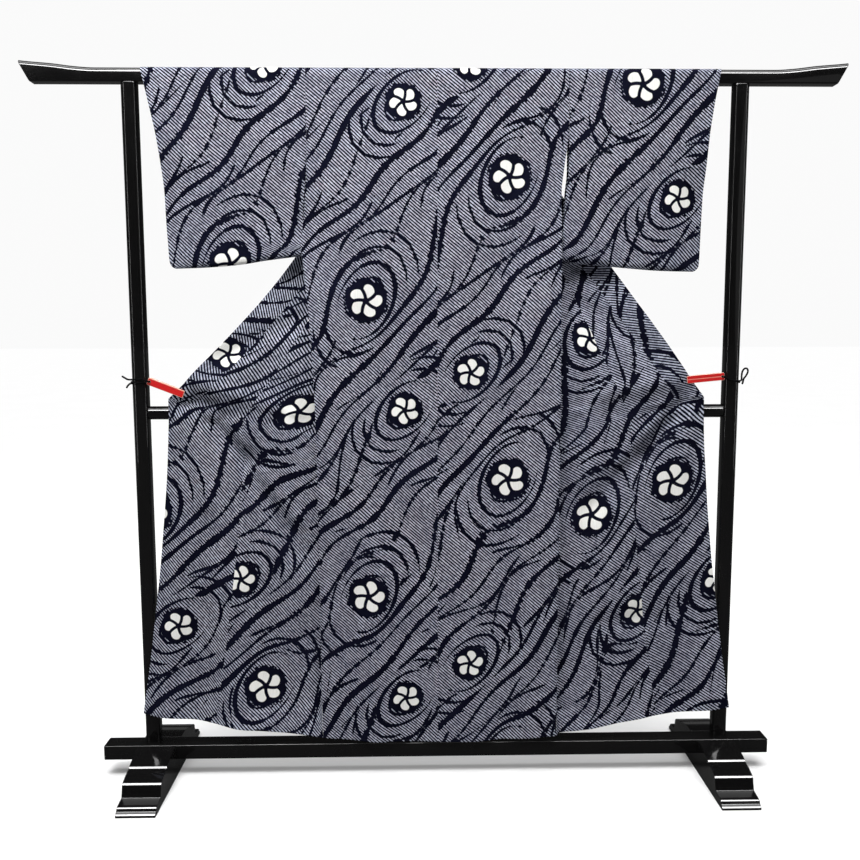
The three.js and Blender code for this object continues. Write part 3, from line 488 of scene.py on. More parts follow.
def refined(points, extras, rowAt, rowStep, columnParts):
    # columns by spline along each row's own length, then rows by a limited spline along the bolt
    rows, columns = points.shape[:2]
    data = np.concatenate([points, extras[..., None]], -1)
    index = np.linspace(0, columns - 1, (columns - 1) * columnParts + 1)
    index = np.unique(np.concatenate([index, nearRim, columns - 1 - nearRim]))
    chord = np.concatenate([np.zeros((rows, 1)), np.cumsum(np.maximum(
        np.linalg.norm(np.diff(points, axis=1), axis=-1), 1e-3), axis=1)], axis=1)
    low = np.minimum(index.astype(int), columns - 2)
    at = lerp(chord[:, low], chord[:, low + 1], index - low)
    fine = np.stack([spline(chord[r], data[r], at[r]) for r in range(rows)])
    total = np.concatenate([[0], np.cumsum(np.abs(np.diff(rowAt)))])
    between = [np.linspace(a, b, max(math.ceil((b - a) / rowStep), 1) + 1)
               for a, b in zip(total[:-1], total[1:])]
    wanted = np.unique(np.concatenate([total, *between]))
    wanted = np.unique(np.concatenate([wanted, total[0] + rowsAtHem, total[-1] - rowsAtHem]))
    wanted = wanted[np.concatenate([[True], np.diff(wanted) > closestRows])]
    wanted[-1] = total[-1]
    body = spline(total, fine, wanted, limited=True)
    bolt = np.interp(wanted, total, rowAt)
    return body[..., :3], body[..., 3], np.broadcast_to(bolt[:, None], body.shape[:2])


# creases pulled by the clips and the body's weight: from, to (x, z), depth away from the back, width
creases = [
    ((-0.640, 0.932), (-0.535, 0.938), 0.013, 0.011),
    ((-0.584, 0.950), (-0.459, 0.802), 0.018, 0.022),
    ((-0.459, 0.802), (-0.336, 0.572), 0.011, 0.032),
    ((-0.600, 0.930), (-0.560, 0.700), -0.008, 0.022),
    ((-0.560, 0.985), (-0.400, 0.930), -0.009, 0.022),
    ((-0.505, 0.880), (-0.350, 0.660), -0.010, 0.021),
    ((-0.520, 1.045), (-0.330, 1.140), 0.009, 0.022),
    ((-0.400, 1.050), (-0.330, 0.880), 0.007, 0.026),
    ((0.610, 0.965), (0.500, 0.810), 0.019, 0.022),
    ((0.500, 0.810), (0.379, 0.682), 0.012, 0.034),
    ((0.600, 0.930), (0.590, 0.700), -0.009, 0.022),
    ((0.560, 0.990), (0.400, 0.960), -0.008, 0.024),
    ((0.570, 0.930), (0.440, 0.790), -0.009, 0.018),
    ((0.520, 1.060), (0.340, 1.180), 0.009, 0.024),
    ((0.380, 1.080), (0.330, 0.860), 0.007, 0.026),
    ((0.402, 0.379), (0.560, 0.400), 0.006, 0.030),
    ((0.335, 1.262), (0.395, 1.252), 0.016, 0.013),
    ((-0.335, 1.255), (-0.365, 1.225), 0.008, 0.012),
    ((-0.300, 1.360), (-0.120, 0.980), 0.005, 0.045),
    ((0.290, 1.330), (0.150, 1.000), -0.005, 0.045),
    ((-0.180, 1.600), (-0.200, 1.200), -0.004, 0.050),
    ((0.200, 1.620), (0.190, 1.250), 0.004, 0.050),
    ((-0.520, 1.640), (-0.470, 1.330), 0.004, 0.040),
    ((0.430, 1.640), (0.480, 1.320), -0.004, 0.040),
]
quiet = {"railZ": 1.66, "freeZ": 1.50, "clipX": 0.645, "clipZ": 0.975, "clipCore": 0.03, "clipRound": 0.075,
         "barZ": 0.914, "barHigh": 0.034, "mostAtBar": 0.003, "most": 0.030}
ripple = {"slow": 0.0012, "fine": 0.0007}


def relief(points):
    # depth of the creases at (x, z): a bell across each line, tapering at its ends, none by rail and clips
    x, z = points[..., 0], points[..., 2]
    deep = np.zeros_like(x)
    for start, end, depth, wide in creases:
        line = np.array(end) - np.array(start)
        share = np.clip(((x - start[0]) * line[0] + (z - start[1]) * line[1]) / (line @ line), 0, 1)
        away = np.hypot(x - start[0] - share * line[0], z - start[1] - share * line[1])
        deep += depth * np.exp(-((away / wide) ** 2))
    deep += (ripple["slow"] * np.sin(31 * x + 9 * z) * np.sin(17 * z - 5 * x + 1.3)
             + ripple["fine"] * np.sin(70 * x - 38 * z + 0.6))
    # hardly any depth is left in front of the crossbar
    byBar = np.exp(-(((z - quiet["barZ"]) / quiet["barHigh"]) ** 2))
    deep = np.minimum(deep, lerp(quiet["most"], quiet["mostAtBar"], byBar))
    clipAway = np.hypot((np.abs(x) - quiet["clipX"]), z - quiet["clipZ"])
    free = 1 - smooth(z, quiet["freeZ"], quiet["railZ"])
    return deep * free * smooth(clipAway, quiet["clipCore"], quiet["clipRound"])


# the dyed design: one repeat of the bolt, worked out by formula; line widths in metres
design = {"repeat": 0.72, "rise": 52, "lines": 8, "main": (0.0058, 0.0150), "second": 0.0078, "ring": 0.0088,
          "ringStep": 0.40, "reach": 0.19, "finest": 0.0042, "ringGap": (0.012, 0.03), "bloomReach": 0.062,
          "bunched": 0.20}
# slow sways of the flow: how far, turns in a repeat, slant, where they start
sways = [(0.019, 1, 8, 0.4), (0.010, 2, -17, 2.1)]
# rings about a blossom: share of the full line width, the part of the turn they cover, where they fade
ringForm = {"outer": 0.85, "outerArc": (0.50, 0.86), "outerFade": (1.8, 2.3), "lid": 0.70, "lidSwell": 0.50,
            "inner": 0.75, "innerArc": (-0.35, 0.4), "clear": (1.02, 1.16)}
# where crowded streams give way, and how wide a line may grow as a share of the space between two
streamForm = {"swell": 19, "swellByLine": 2.4, "crowdOdd": (1.9, 2.7), "crowdSecond": (1.25, 1.8),
              "secondAt": (0.25, 0.6), "most": 0.30, "mostSecond": 0.2, "branch": 0.47, "branchAlong": 24}
blossoms = [{"at": (-0.170, 0.550), "radius": 0.0395, "turn": 0.30, "eye": 0.062, "long": 1.55, "tilt": 12,
             "open": 0.6},
            {"at": (-0.079, 0.090), "radius": 0.0330, "turn": 1.05, "eye": 0.053, "long": 1.60, "tilt": -6,
             "open": 3.6}]


def aroundBlossoms(u, v):
    # every blossom and its repeats: places from it along and across the flow, and q, the distance from it in
    # a long oval's own measure
    base = np.floor(v / design["repeat"])
    for b in blossoms:
        tilt = math.radians(design["rise"] + b["tilt"])
        for k in (-1, 0, 1):
            du, dv = u - b["at"][0], v - b["at"][1] - (base + k) * design["repeat"]
            side = du * math.sin(tilt) + dv * math.cos(tilt)
            ahead = (du * math.cos(tilt) - dv * math.sin(tilt)) / b["long"]
            yield b, du, dv, side, ahead, np.hypot(side, ahead) / b["eye"] + 1e-6


def lineNumber(u, v):
    # streams run up and to the right; each blossom parts them like a stone: side * (1 - 1 / q^2)
    d = design
    turn = 2 * math.pi * v / d["repeat"]
    rise = math.radians(d["rise"])
    flow = u * math.sin(rise) + v * math.cos(rise)
    for far, turns, slant, start in sways:
        flow = flow + far * np.sin(turns * turn + slant * u + start)
    for _, du, dv, side, _, q in aroundBlossoms(u, v):
        flow = flow - side * np.minimum(q ** -2.0, 1) * np.exp(-((np.hypot(du, dv) / d["reach"]) ** 4))
    lines = flow * d["lines"] / (d["repeat"] * math.cos(rise))
    return lines + d["bunched"] * np.sin(4 * math.pi * lines / d["lines"] + turn - 6 * u)


def tapered(width):
    # a line keeps its width until it is very fine, and then ends soon
    return width * smooth(width, 0.3 * design["finest"], design["finest"])


def dyeFields(u, v):
    # number and width of the streams and rings at each point, and its place within the nearest blossom
    d, form, flowing = design, ringForm, streamForm
    turn = 2 * math.pi * v / d["repeat"]
    rise = math.radians(d["rise"])
    along = u * math.cos(rise) - v * math.sin(rise)
    lines = lineNumber(u, v)
    step = 0.0005
    steep = np.hypot(lineNumber(u + step, v) - lines, lineNumber(u, v + step) - lines) / step
    crowd = steep * d["repeat"] * math.cos(rise) / d["lines"]
    farAway = 9.0
    nearest, second, clear = np.full(u.shape, farAway), np.full(u.shape, farAway), np.ones(u.shape)
    local = np.zeros(u.shape + (2,))
    rings, ringWide = np.zeros(u.shape), np.zeros(u.shape)
    for b, du, dv, side, ahead, q in aroundBlossoms(u, v):
        r = np.hypot(du, dv)
        clear = clear * smooth(q, *form["clear"])
        # a full lid at q = 1, a part ring within it, and arcs only by the tips outside it
        angle = np.arctan2(ahead, side)
        ring = (q - 1) / d["ringStep"]
        index = np.round(ring)
        outer = (smooth(np.abs(np.sin(angle)), *form["outerArc"]) * (index >= 1)
                 * (1 - smooth(q, *form["outerFade"])) * form["outer"])
        lid = (index == 0) * (form["lid"] + form["lidSwell"] * np.sin(angle + b["open"]))
        inner = (index == -1) * smooth(np.sin(angle - b["open"]), *form["innerArc"]) * form["inner"]
        ringSteep = np.hypot(side, ahead / b["long"]) / (q * b["eye"] ** 2 * d["ringStep"])
        closer = r < nearest
        rings = np.where(closer, ring, rings)
        ringWide = np.where(closer, tapered(d["ring"] * (outer + lid + inner)) / 2 * ringSteep, ringWide)
        c, s = math.cos(b["turn"]), math.sin(b["turn"])
        here = np.stack([du * c - dv * s, du * s + dv * c], -1) / b["radius"]
        local = np.where(closer[..., None], here, local)
        second = np.where(closer, nearest, np.minimum(second, r))
        nearest = np.where(closer, r, nearest)
    # rings stop short of the line midway between two blossoms
    ringWide = ringWide * smooth(second - nearest, *d["ringGap"])
    # the main lines swell and thin; a second line wanders between two of them and runs into each by turns
    number = 2 * math.pi / d["lines"]
    byLine = flowing["swellByLine"] * np.sin(2 * number * np.round(lines))
    swell = 0.5 + 0.5 * np.sin(2 * turn + flowing["swell"] * along + byLine)
    odd = np.round(lines) % 2
    wide = lerp(d["main"][0], d["main"][1], swell ** 2) * (1 - odd * smooth(crowd, *flowing["crowdOdd"]))
    wide = np.minimum(tapered(wide * clear) / 2 * steep, flowing["most"])
    thin = tapered(d["second"] * smooth(1 - swell, *flowing["secondAt"]) * clear
                   * (1 - smooth(crowd, *flowing["crowdSecond"])))
    thin = np.minimum(thin / 2 * steep, flowing["mostSecond"])
    byGap = 3 * number * np.floor(lines)
    branch = 0.5 + flowing["branch"] * np.sin(turn + flowing["branchAlong"] * along + byGap)
    near = (nearest < d["bloomReach"]).astype(float)
    return {"streams": np.stack([lines, wide, thin], -1), "rings": np.stack([rings, ringWide, branch], -1),
            "bloom": np.concatenate([local, near[..., None]], -1)}


# from arrays to meshes
def outward(points, faces):
    # quads turned so that the volume they close, a sum of tetrahedra from the origin, is above nought
    a, b, c, d = (points[faces[:, k]] for k in range(4))
    volume = (a * np.cross(b, c)).sum() + (a * np.cross(c, d)).sum()
    return faces[:, ::-1] if volume < 0 else faces


def meshPiece(name, points, faces, sharp=None):
    # one object at the origin from arrays of points and quads
    mesh = bpy.data.meshes.new(name)
    mesh.vertices.add(len(points))
    mesh.vertices.foreach_set("co", np.asarray(points, np.float32).ravel())
    mesh.loops.add(faces.size)
    mesh.loops.foreach_set("vertex_index", faces.astype(np.int32).ravel())
    mesh.polygons.add(len(faces))
    mesh.polygons.foreach_set("loop_start", np.arange(0, faces.size, faces.shape[1], dtype=np.int32))
    mesh.update(calc_edges=True)
    mesh.validate()
    mesh.polygons.foreach_set("use_smooth", np.ones(len(faces), bool))
    if sharp:
        mesh.set_sharp_from_angle(angle=math.radians(sharp))
    return addObject(name, mesh)


def cornerPoints(mesh):
    # the number of the point at every face corner
    found = np.empty(len(mesh.loops), np.int32)
    mesh.loops.foreach_get("vertex_index", found)
    return found


def addMap(mesh, name, atCorners):
    mesh.uv_layers.new(name=name).data.foreach_set("uv", atCorners.astype(np.float32).ravel())


def shell(name, middle, thick, u, v):
    # a closed thin wall about a middle surface: the surface moved half a thickness each way, and a rim
    rows, columns = middle.shape[:2]
    down, side = np.gradient(middle, axis=0), np.gradient(middle, axis=1)
    normal = unit(np.cross(side, down))
    out = normal * np.broadcast_to(thick, (rows, columns))[..., None] / 2
    points = np.concatenate([(middle + out).reshape(-1, 3), (middle - out).reshape(-1, 3)])
    grid = np.arange(rows * columns).reshape(rows, columns)
    quads = np.stack([grid[:-1, :-1], grid[:-1, 1:], grid[1:, 1:], grid[1:, :-1]], -1).reshape(-1, 4)
    count = rows * columns
    loop = np.concatenate([grid[0, :-1], grid[:-1, -1], grid[-1, :0:-1], grid[:0:-1, 0]])
    after = np.roll(loop, -1)
    rim = np.stack([loop, loop + count, after + count, after], -1)
    piece = meshPiece(name, points, outward(points, np.concatenate([quads, quads[:, ::-1] + count, rim])))
    # both faces of the wall carry the same place on the bolt and the same fields of the design
    bolt = np.tile(np.stack([u, v], -1).reshape(-1, 2), (2, 1))
    addMap(piece.data, "bolt", bolt[cornerPoints(piece.data)])
    for key, values in dyeFields(u, v).items():
        both = np.tile(values.reshape(-1, 3), (2, 1)).astype(np.float32)
        piece.data.attributes.new(key, "FLOAT_VECTOR", "POINT").data.foreach_set("vector", both.ravel())
    return piece


def coat(piece, material):
    piece.data.materials.clear()
    piece.data.materials.append(material)


def dress(piece, material, node):
    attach(piece, "root")
    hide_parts(node)
    coat(piece, material)


# material tools; a math node goes into the tree of its first socket
def isSocket(value):
    return isinstance(value, bpy.types.NodeSocket)


def fill(node, inputs):
    # a socket is joined on and a plain value is set
    for key, value in inputs.items():
        if isSocket(value):
            node.id_data.links.new(value, node.inputs[key])
        else:
            node.inputs[key].default_value = value
    return node


def addNode(tree, kind, inputs=None, **settings):
    made = tree.nodes.new(kind)
    for key, value in settings.items():
        setattr(made, key, value)
    return fill(made, inputs or {})


def calc(operation, *values, clamp=False):
    tree = next(value.id_data for value in values if isSocket(value))
    made = addNode(tree, "ShaderNodeMath", dict(enumerate(values)), operation=operation, use_clamp=clamp)
    return made.outputs[0]


def plus(a, b):
    return calc("ADD", a, b)


def less(a, b):
    return calc("SUBTRACT", a, b)


def times(a, b):
    return calc("MULTIPLY", a, b)


def scaled(value, factor, added, clamp=False):
    return calc("MULTIPLY_ADD", value, factor, added, clamp=clamp)


def absolute(value):
    return calc("ABSOLUTE", value)


def fade(value, low, high):
    # an S-curve from nought at one limit to one at the other
    return addNode(value.id_data, "ShaderNodeMapRange", {"Value": value, "From Min": low, "From Max": high},
                   interpolation_type="SMOOTHSTEP").outputs[0]


def blendColor(share, a, b):
    return addNode(share.id_data, "ShaderNodeMix", {0: share, 6: a, 7: b}, data_type="RGBA").outputs[2]


def noise(place, scale, detail):
    inputs = {"Vector": place, "Scale": scale, "Detail": detail}
    return addNode(place.id_data, "ShaderNodeTexNoise", inputs).outputs[0]


def parted(vector):
    return addNode(vector.id_data, "ShaderNodeSeparateXYZ", {0: vector}).outputs


def bumped(height, distance, strength):
    inputs = {"Height": height, "Distance": distance, "Strength": strength}
    return addNode(height.id_data, "ShaderNodeBump", inputs).outputs[0]


def objectPlace(tree):
    return addNode(tree, "ShaderNodeTexCoord").outputs["Object"]


def ownMap(tree, name):
    return addNode(tree, "ShaderNodeUVMap", uv_map=name).outputs[0]


def newGroup(name, ins, outs):
    group = bpy.data.node_groups.new(name, "ShaderNodeTree")
    for label, kind, value in ins:
        socket = group.interface.new_socket(name=label, in_out="INPUT", socket_type=kind)
        if value is not None:
            socket.default_value = value
    for label in outs:
        group.interface.new_socket(name=label, in_out="OUTPUT", socket_type="NodeSocketFloat")
    start = group.nodes.new("NodeGroupInput")
    return group, start.outputs, group.nodes.new("NodeGroupOutput")


def useGroup(group, place, values):
    return addNode(place.id_data, "ShaderNodeGroup", {"Place": place, **values}, node_tree=group).outputs


def newMaterial(name, constants):
    material = bpy.data.materials.new(name)
    material.use_nodes = True
    shader = fill(material.node_tree.nodes["Principled BSDF"], constants)
    return material, material.node_tree, shader


weaveForm = {"threads": 1400.0, "slub": (900.0, 25.0, 1.0)}


def threadWeaveGroup():
    # plain weave: two sets of threads, one over the other by turns, on a flat vector in metres
    group, given, end = newGroup("threadWeave", [("Place", "NodeSocketVector", None),
                                                 ("Threads", "NodeSocketFloat", weaveForm["threads"])],
                                 ["Height", "Slub"])
    parts = parted(given["Place"])
    warp, weft = times(parts[0], given["Threads"]), times(parts[1], given["Threads"])
    warpRound, weftRound = (absolute(calc("SINE", times(thread, math.pi))) for thread in (warp, weft))
    over = calc("PINGPONG", plus(calc("FLOOR", warp), calc("FLOOR", weft)), 1.0)
    height = plus(times(warpRound, over), times(weftRound, less(1.0, over)))
    stretched = addNode(group, "ShaderNodeVectorMath", {0: given["Place"], 1: weaveForm["slub"]},
                        operation="MULTIPLY").outputs[0]
    fill(end, {"Height": height, "Slub": noise(stretched, 1.0, 2.0)})
    return group


dustForm = {"cloud": 9.0, "speck": 420.0, "cloudFade": (0.35, 0.7), "speckFade": (0.56, 0.72)}


def fineDustGroup():
    # a slow cloud and a fine speckle that vary gloss and tone over a smooth surface
    group, given, end = newGroup("fineDust", [("Place", "NodeSocketVector", None),
                                              ("Cloud Scale", "NodeSocketFloat", dustForm["cloud"]),
                                              ("Speck Scale", "NodeSocketFloat", dustForm["speck"])],
                                 ["Cloud", "Speck"])
    fill(end, {"Cloud": fade(noise(given["Place"], given["Cloud Scale"], 4.0), *dustForm["cloudFade"]),
               "Speck": fade(noise(given["Place"], given["Speck Scale"], 1.0), *dustForm["speckFade"])})
    return group


threadWeave = threadWeaveGroup()
fineDust = fineDustGroup()

dye = {"pale": (0.565, 0.595, 0.710, 1), "paleWorn": (0.290, 0.312, 0.410, 1),
       "navy": (0.0024, 0.0027, 0.0090, 1), "navyWashed": (0.0050, 0.0057, 0.0160, 1),
       "petal": (0.930, 0.925, 0.890, 1), "petalGrey": (0.66, 0.66, 0.65, 1), "stripeRise": 41,
       "stripePitch": 0.0060, "beadPitch": 0.0065, "beadPower": 0.6, "beadSwell": 0.22, "beadLeast": 0.84,
       "paleShare": 0.365, "paleLuck": 0.16, "stripeSoft": (-0.10, 0.16), "drift": 0.024, "halo": 1.32,
       "raggedByStripe": 0.080, "raggedByBead": 0.045, "raggedIn": -0.062, "raggedThin": 0.7,
       "finestRagged": 0.012, "lineSoft": 0.012, "puff": {"weave": 0.12, "stripe": 0.55, "petal": 0.35}}
petalForm = {"count": 5, "twist": 0.45, "round": 0.48, "roundPower": 2.2, "wedge": 0.63, "tip": (-0.02, 0.03),
             "gap": (0.085, 0.125), "eye": (0.17, 0.25), "haloRagged": 0.24, "haloSoft": 0.03}


def makeCotton():
    # pale diagonal stripes of small beads, cut by dark lines, with five-petal blossoms left white
    material, tree, shader = newMaterial("indigo_shibori_cotton",
                                         {"Roughness": 0.9, "Specular IOR Level": 0.02})
    uv = ownMap(tree, "bolt")
    place = parted(uv)
    rise = math.radians(dye["stripeRise"])
    drift = scaled(noise(uv, 4.0, 1.0), dye["drift"], -dye["drift"] / 2)
    across = scaled(place[1], math.cos(rise), scaled(place[0], -math.sin(rise), drift))
    across = calc("DIVIDE", across, dye["stripePitch"])
    along = times(place[0], math.cos(rise) / dye["beadPitch"])
    along = scaled(place[1], math.sin(rise) / dye["beadPitch"], along)
    stripe = calc("FLOOR", across)
    shift = addNode(tree, "ShaderNodeTexWhiteNoise", {"W": stripe}, noise_dimensions="1D").outputs[0]
    along = plus(along, shift)
    spot = addNode(tree, "ShaderNodeCombineXYZ", {0: stripe, 1: calc("FLOOR", along), 2: 0.5}).outputs[0]
    luck = addNode(tree, "ShaderNodeTexWhiteNoise", {"Vector": spot}, noise_dimensions="3D").outputs[0]
    # pale where the distance from the stripe's middle is under a limit that swells at each bead
    offMiddle = times(absolute(less(calc("FRACT", across), 0.5)), 2.0)
    bead = calc("POWER", absolute(calc("SINE", times(along, math.pi))), dye["beadPower"])
    limit = times(scaled(bead, dye["beadSwell"], dye["beadLeast"]),
                  scaled(luck, dye["paleLuck"], dye["paleShare"]))
    stripes = fade(less(limit, offMiddle), *dye["stripeSoft"])
    jag = scaled(shift, dye["raggedByStripe"], scaled(luck, dye["raggedByBead"], dye["raggedIn"]))

    def readField(name):
        return parted(addNode(tree, "ShaderNodeAttribute", attribute_name=name).outputs["Vector"])

    def darkLine(level, half, rough):
        # dark where the level is nearer to a whole number than the half width, with stepped edges
        off = calc("PINGPONG", level, 0.5)
        ragged = times(jag, times(calc("GREATER_THAN", half, dye["finestRagged"]), rough))
        return fade(plus(less(half, off), ragged), -dye["lineSoft"], dye["lineSoft"])

    streams, rings, bloom = readField("streams"), readField("rings"), readField("bloom")
    dark = calc("MAXIMUM", darkLine(streams[0], streams[1], 1.0),
                darkLine(less(streams[0], rings[2]), streams[2], dye["raggedThin"]))
    dark = calc("MAXIMUM", dark, darkLine(rings[0], rings[1], 1.0))

    # petals in polar form: the angle, twisted with the distance, gives the place within one of five petals
    p = petalForm
    flat = addNode(tree, "ShaderNodeCombineXYZ", {0: bloom[0], 1: bloom[1]}).outputs[0]
    far = addNode(tree, "ShaderNodeVectorMath", {0: flat}, operation="LENGTH").outputs["Value"]
    angle = plus(calc("ARCTAN2", bloom[1], bloom[0]), times(far, p["twist"]))
    turn = calc("FRACT", scaled(angle, p["count"] / (2 * math.pi), float(p["count"])))
    fromMiddle = times(absolute(less(turn, 0.5)), 2.0)
    gapAway = times(less(1.0, fromMiddle), times(far, p["wedge"]))
    rounding = times(calc("POWER", fromMiddle, p["roundPower"]), p["round"])
    toTip = less(less(1.0, rounding), far)
    petal = times(fade(toTip, *p["tip"]), fade(gapAway, *p["gap"]))
    petal = times(petal, times(fade(far, *p["eye"]), bloom[2]))
    haloEdge = scaled(luck, p["haloRagged"], dye["halo"] - p["haloRagged"] / 2)
    halo = times(fade(less(haloEdge, far), -p["haloSoft"], p["haloSoft"]), bloom[2])
    stripes = times(stripes, less(1.0, calc("MAXIMUM", dark, halo)))

    weave = useGroup(threadWeave, uv, {"Threads": 1500.0})
    dust = useGroup(fineDust, uv, {"Cloud Scale": 7.0, "Speck Scale": 900.0})
    worn = scaled(dust["Cloud"], 0.35, times(less(1.0, luck), 0.5), clamp=True)
    ground = blendColor(stripes, blendColor(dust["Cloud"], dye["navy"], dye["navyWashed"]),
                        blendColor(worn, dye["pale"], dye["paleWorn"]))
    flower = blendColor(times(dust["Speck"], 0.5), dye["petal"], dye["petalGrey"])
    colour = blendColor(petal, ground, flower)
    shade = scaled(weave["Slub"], 0.30, 0.85)
    final = addNode(tree, "ShaderNodeVectorMath", {0: colour, "Scale": shade}, operation="SCALE").outputs[0]
    puff = scaled(weave["Height"], dye["puff"]["weave"], times(stripes, dye["puff"]["stripe"]))
    puff = scaled(petal, dye["puff"]["petal"], puff)
    fill(shader, {"Base Color": final, "Normal": bumped(puff, 0.0005, 0.55)})
    return material


lacquerTone = {"black": (0.0035, 0.0034, 0.0036, 1), "dusty": (0.020, 0.019, 0.018, 1)}


def makeLacquer():
    material, tree, shader = newMaterial("black_lacquer", {"IOR": 1.45, "Specular IOR Level": 0.10,
                                                           "Coat Weight": 0.85, "Coat Roughness": 0.05})
    place = objectPlace(tree)
    dust = useGroup(fineDust, place, {"Cloud Scale": 11.0, "Speck Scale": 600.0})
    colour = blendColor(times(dust["Speck"], 0.35), lacquerTone["black"], lacquerTone["dusty"])
    gloss = plus(scaled(dust["Cloud"], 0.10, 0.12), times(dust["Speck"], 0.10))
    fill(shader, {"Base Color": colour, "Roughness": gloss,
                  "Normal": bumped(noise(place, 26.0, 2.0), 0.0006, 0.12)})
    return material


# clip colours: red and deep red are the plastic's own; the band colour and the two edge colours are painted
# highlights, along each jaw and on its eased edges
clipColoursAndHighlights = {"red": (0.760, 0.010, 0.008, 1), "deepRed": (0.540, 0.005, 0.008, 1),
            "band": (0.98, 0.42, 0.32, 1), "edge": (0.92, 0.66, 0.48, 1), "edgeHighlightPale": (0.97, 0.88, 0.74, 1)}


def makeClipRed():
    # a paler band is painted along each jaw as its highlight, where its own across share is nought
    material, tree, shader = newMaterial("red_clip_plastic", {"Roughness": 0.3, "IOR": 1.48})
    uv = ownMap(tree, "clip")
    dust = useGroup(fineDust, uv, {"Cloud Scale": 8.0, "Speck Scale": 300.0})
    # painted highlight: the paler band along the jaw
    band = fade(absolute(parted(uv)[1]), 0.16, 0.05)
    red = blendColor(dust["Cloud"], clipColoursAndHighlights["red"], clipColoursAndHighlights["deepRed"])
    fill(shader, {"Base Color": blendColor(times(band, 0.65), red, clipColoursAndHighlights["band"]),
                  "Roughness": scaled(dust["Speck"], 0.2, 0.28)})
    return material


def makeClipEdgeHighlight():
    # a pale colour painted on the jaws' eased edges as their highlight
    material, tree, shader = newMaterial("pale_clip_edge_painted_highlight", {"Roughness": 0.3})
    dust = useGroup(fineDust, objectPlace(tree), {"Cloud Scale": 60.0, "Speck Scale": 700.0})
    fill(shader, {"Base Color": blendColor(dust["Cloud"], clipColoursAndHighlights["edge"], clipColoursAndHighlights["edgeHighlightPale"])})
    return material


steelTone = {"bright": (0.55, 0.55, 0.56, 1), "dull": (0.36, 0.36, 0.37, 1)}


def makePinSteel():
    material, tree, shader = newMaterial("pin_steel", {"Metallic": 1.0, "Roughness": 0.3})
    dust = useGroup(fineDust, objectPlace(tree), {"Cloud Scale": 90.0, "Speck Scale": 1500.0})
    fill(shader, {"Base Color": blendColor(dust["Speck"], steelTone["bright"], steelTone["dull"]),
                  "Roughness": scaled(dust["Cloud"], 0.15, 0.22)})
    return material


# the deep colour is painted into the grooves between the strands as their shade; the ridge colour is the
# cord's own black
cordToneAndGrooveShade = {"deep": (0.001, 0.001, 0.001, 1), "ridge": (0.006, 0.006, 0.007, 1), "lay": 0.0042}


def makeCordBlack():
    # two strands laid round each other, seen as slanting ridges on the cord's own length and turn, with the
    # grooves between them darkened as painted shade
    material, tree, shader = newMaterial("black_cord", {"Roughness": 0.9, "Specular IOR Level": 0.03})
    uv = ownMap(tree, "cord")
    place = parted(uv)
    lay = plus(times(place[0], 2 * math.pi / cordToneAndGrooveShade["lay"]), times(place[1], 4 * math.pi))
    ridge = absolute(calc("SINE", times(lay, 0.5)))
    weave = useGroup(threadWeave, uv, {"Threads": 3000.0})
    # painted shade: dark in the grooves, lighter on the ridges, varied by the yarn's slubs
    shade = times(ridge, scaled(weave["Slub"], 0.5, 0.6))
    fill(shader, {"Base Color": blendColor(shade, cordToneAndGrooveShade["deep"], cordToneAndGrooveShade["ridge"]),
                  "Normal": bumped(ridge, 0.0004, 0.7)})
    return material


cotton, lacquer, clipRed, clipEdgePaintedHighlight = makeCotton(), makeLacquer(), makeClipRed(), makeClipEdgeHighlight()
pinSteel, cordBlack = makePinSteel(), makeCordBlack()
print("materials made")


def toWorld(points, turn=1):
    world = points * mm * np.array([turn, 1, 1])
    world[..., 1] += relief(world)
    return world


def hemThick(fromHem):
    # thicker over the fold of a hem, in millimetres
    fold = cloth["hemFold"]
    return cloth["shell"] + cloth["hemExtra"] * (1 - smooth(fromHem, fold - 1, fold + 1))


# the front panels take a wider side seam and a small tuck at the waist, which carries the design up
bodyCut = {"rowStep": 6.6, "columnParts": 6, "rightSlide": 0.81, "frontShift": 0.026, "seamFrom": (20, 250),
           "tuckHigh": 0.030, "highFrom": (100, 450), "tuckWaist": 0.045, "waistFrom": (700, 1100)}


def makeBody(side):
    b = bodyCut
    points, away, bolt = refined(*bodyRows(side), b["rowStep"], b["columnParts"])
    thick = hemThick(cut["hem"] - np.abs(bolt))
    # the left panel lies on the bolt as cut, the right one is turned half round
    u = -(away * mm + b["frontShift"] * smooth(-bolt, *b["seamFrom"]))
    v = (bolt * mm - b["tuckHigh"] * smooth(-bolt, *b["highFrom"])
         - b["tuckWaist"] * smooth(-bolt, *b["waistFrom"]))
    if side == "right":
        v = b["rightSlide"] - v
    piece = shell(f"body_{side}_cloth", toWorld(points, sides[side]), thick * mm, u, v)
    dress(piece, cotton, f"body_{side}")


okumiCut = {"left": {"u": 0.041, "v": -0.605, "sign": -1}, "right": {"u": -0.268, "v": 0.206, "sign": 1},
            "columnParts": 8, "noHemAbove": 400}


def makeOkumi(side):
    coarse, away, bolt = okumiRows(side)
    points, away, bolt = refined(coarse, away, -bolt, bodyCut["rowStep"], okumiCut["columnParts"])
    # the free edge is hemmed only below the collar
    fromFree = cut["fullWidth"] - cut["frontHem"] - away + okumiCut["noHemAbove"] * (bolt > -cut["collarEnd"])
    thick = hemThick(np.minimum(cut["hem"] + bolt, fromFree))
    place = okumiCut[side]
    u, v = away * mm * place["sign"] + place["u"], -bolt * mm + place["v"]
    piece = shell(f"okumi_{side}_cloth", toWorld(points, sides[side]), thick * mm, u, v)
    dress(piece, cotton, f"okumi_{side}")


sleeveCut = {"left": {"u": 0.321, "v": 0.085}, "right": {"u": -0.65, "v": 0.50}, "rowStep": 5.0,
             "columnParts": 8}


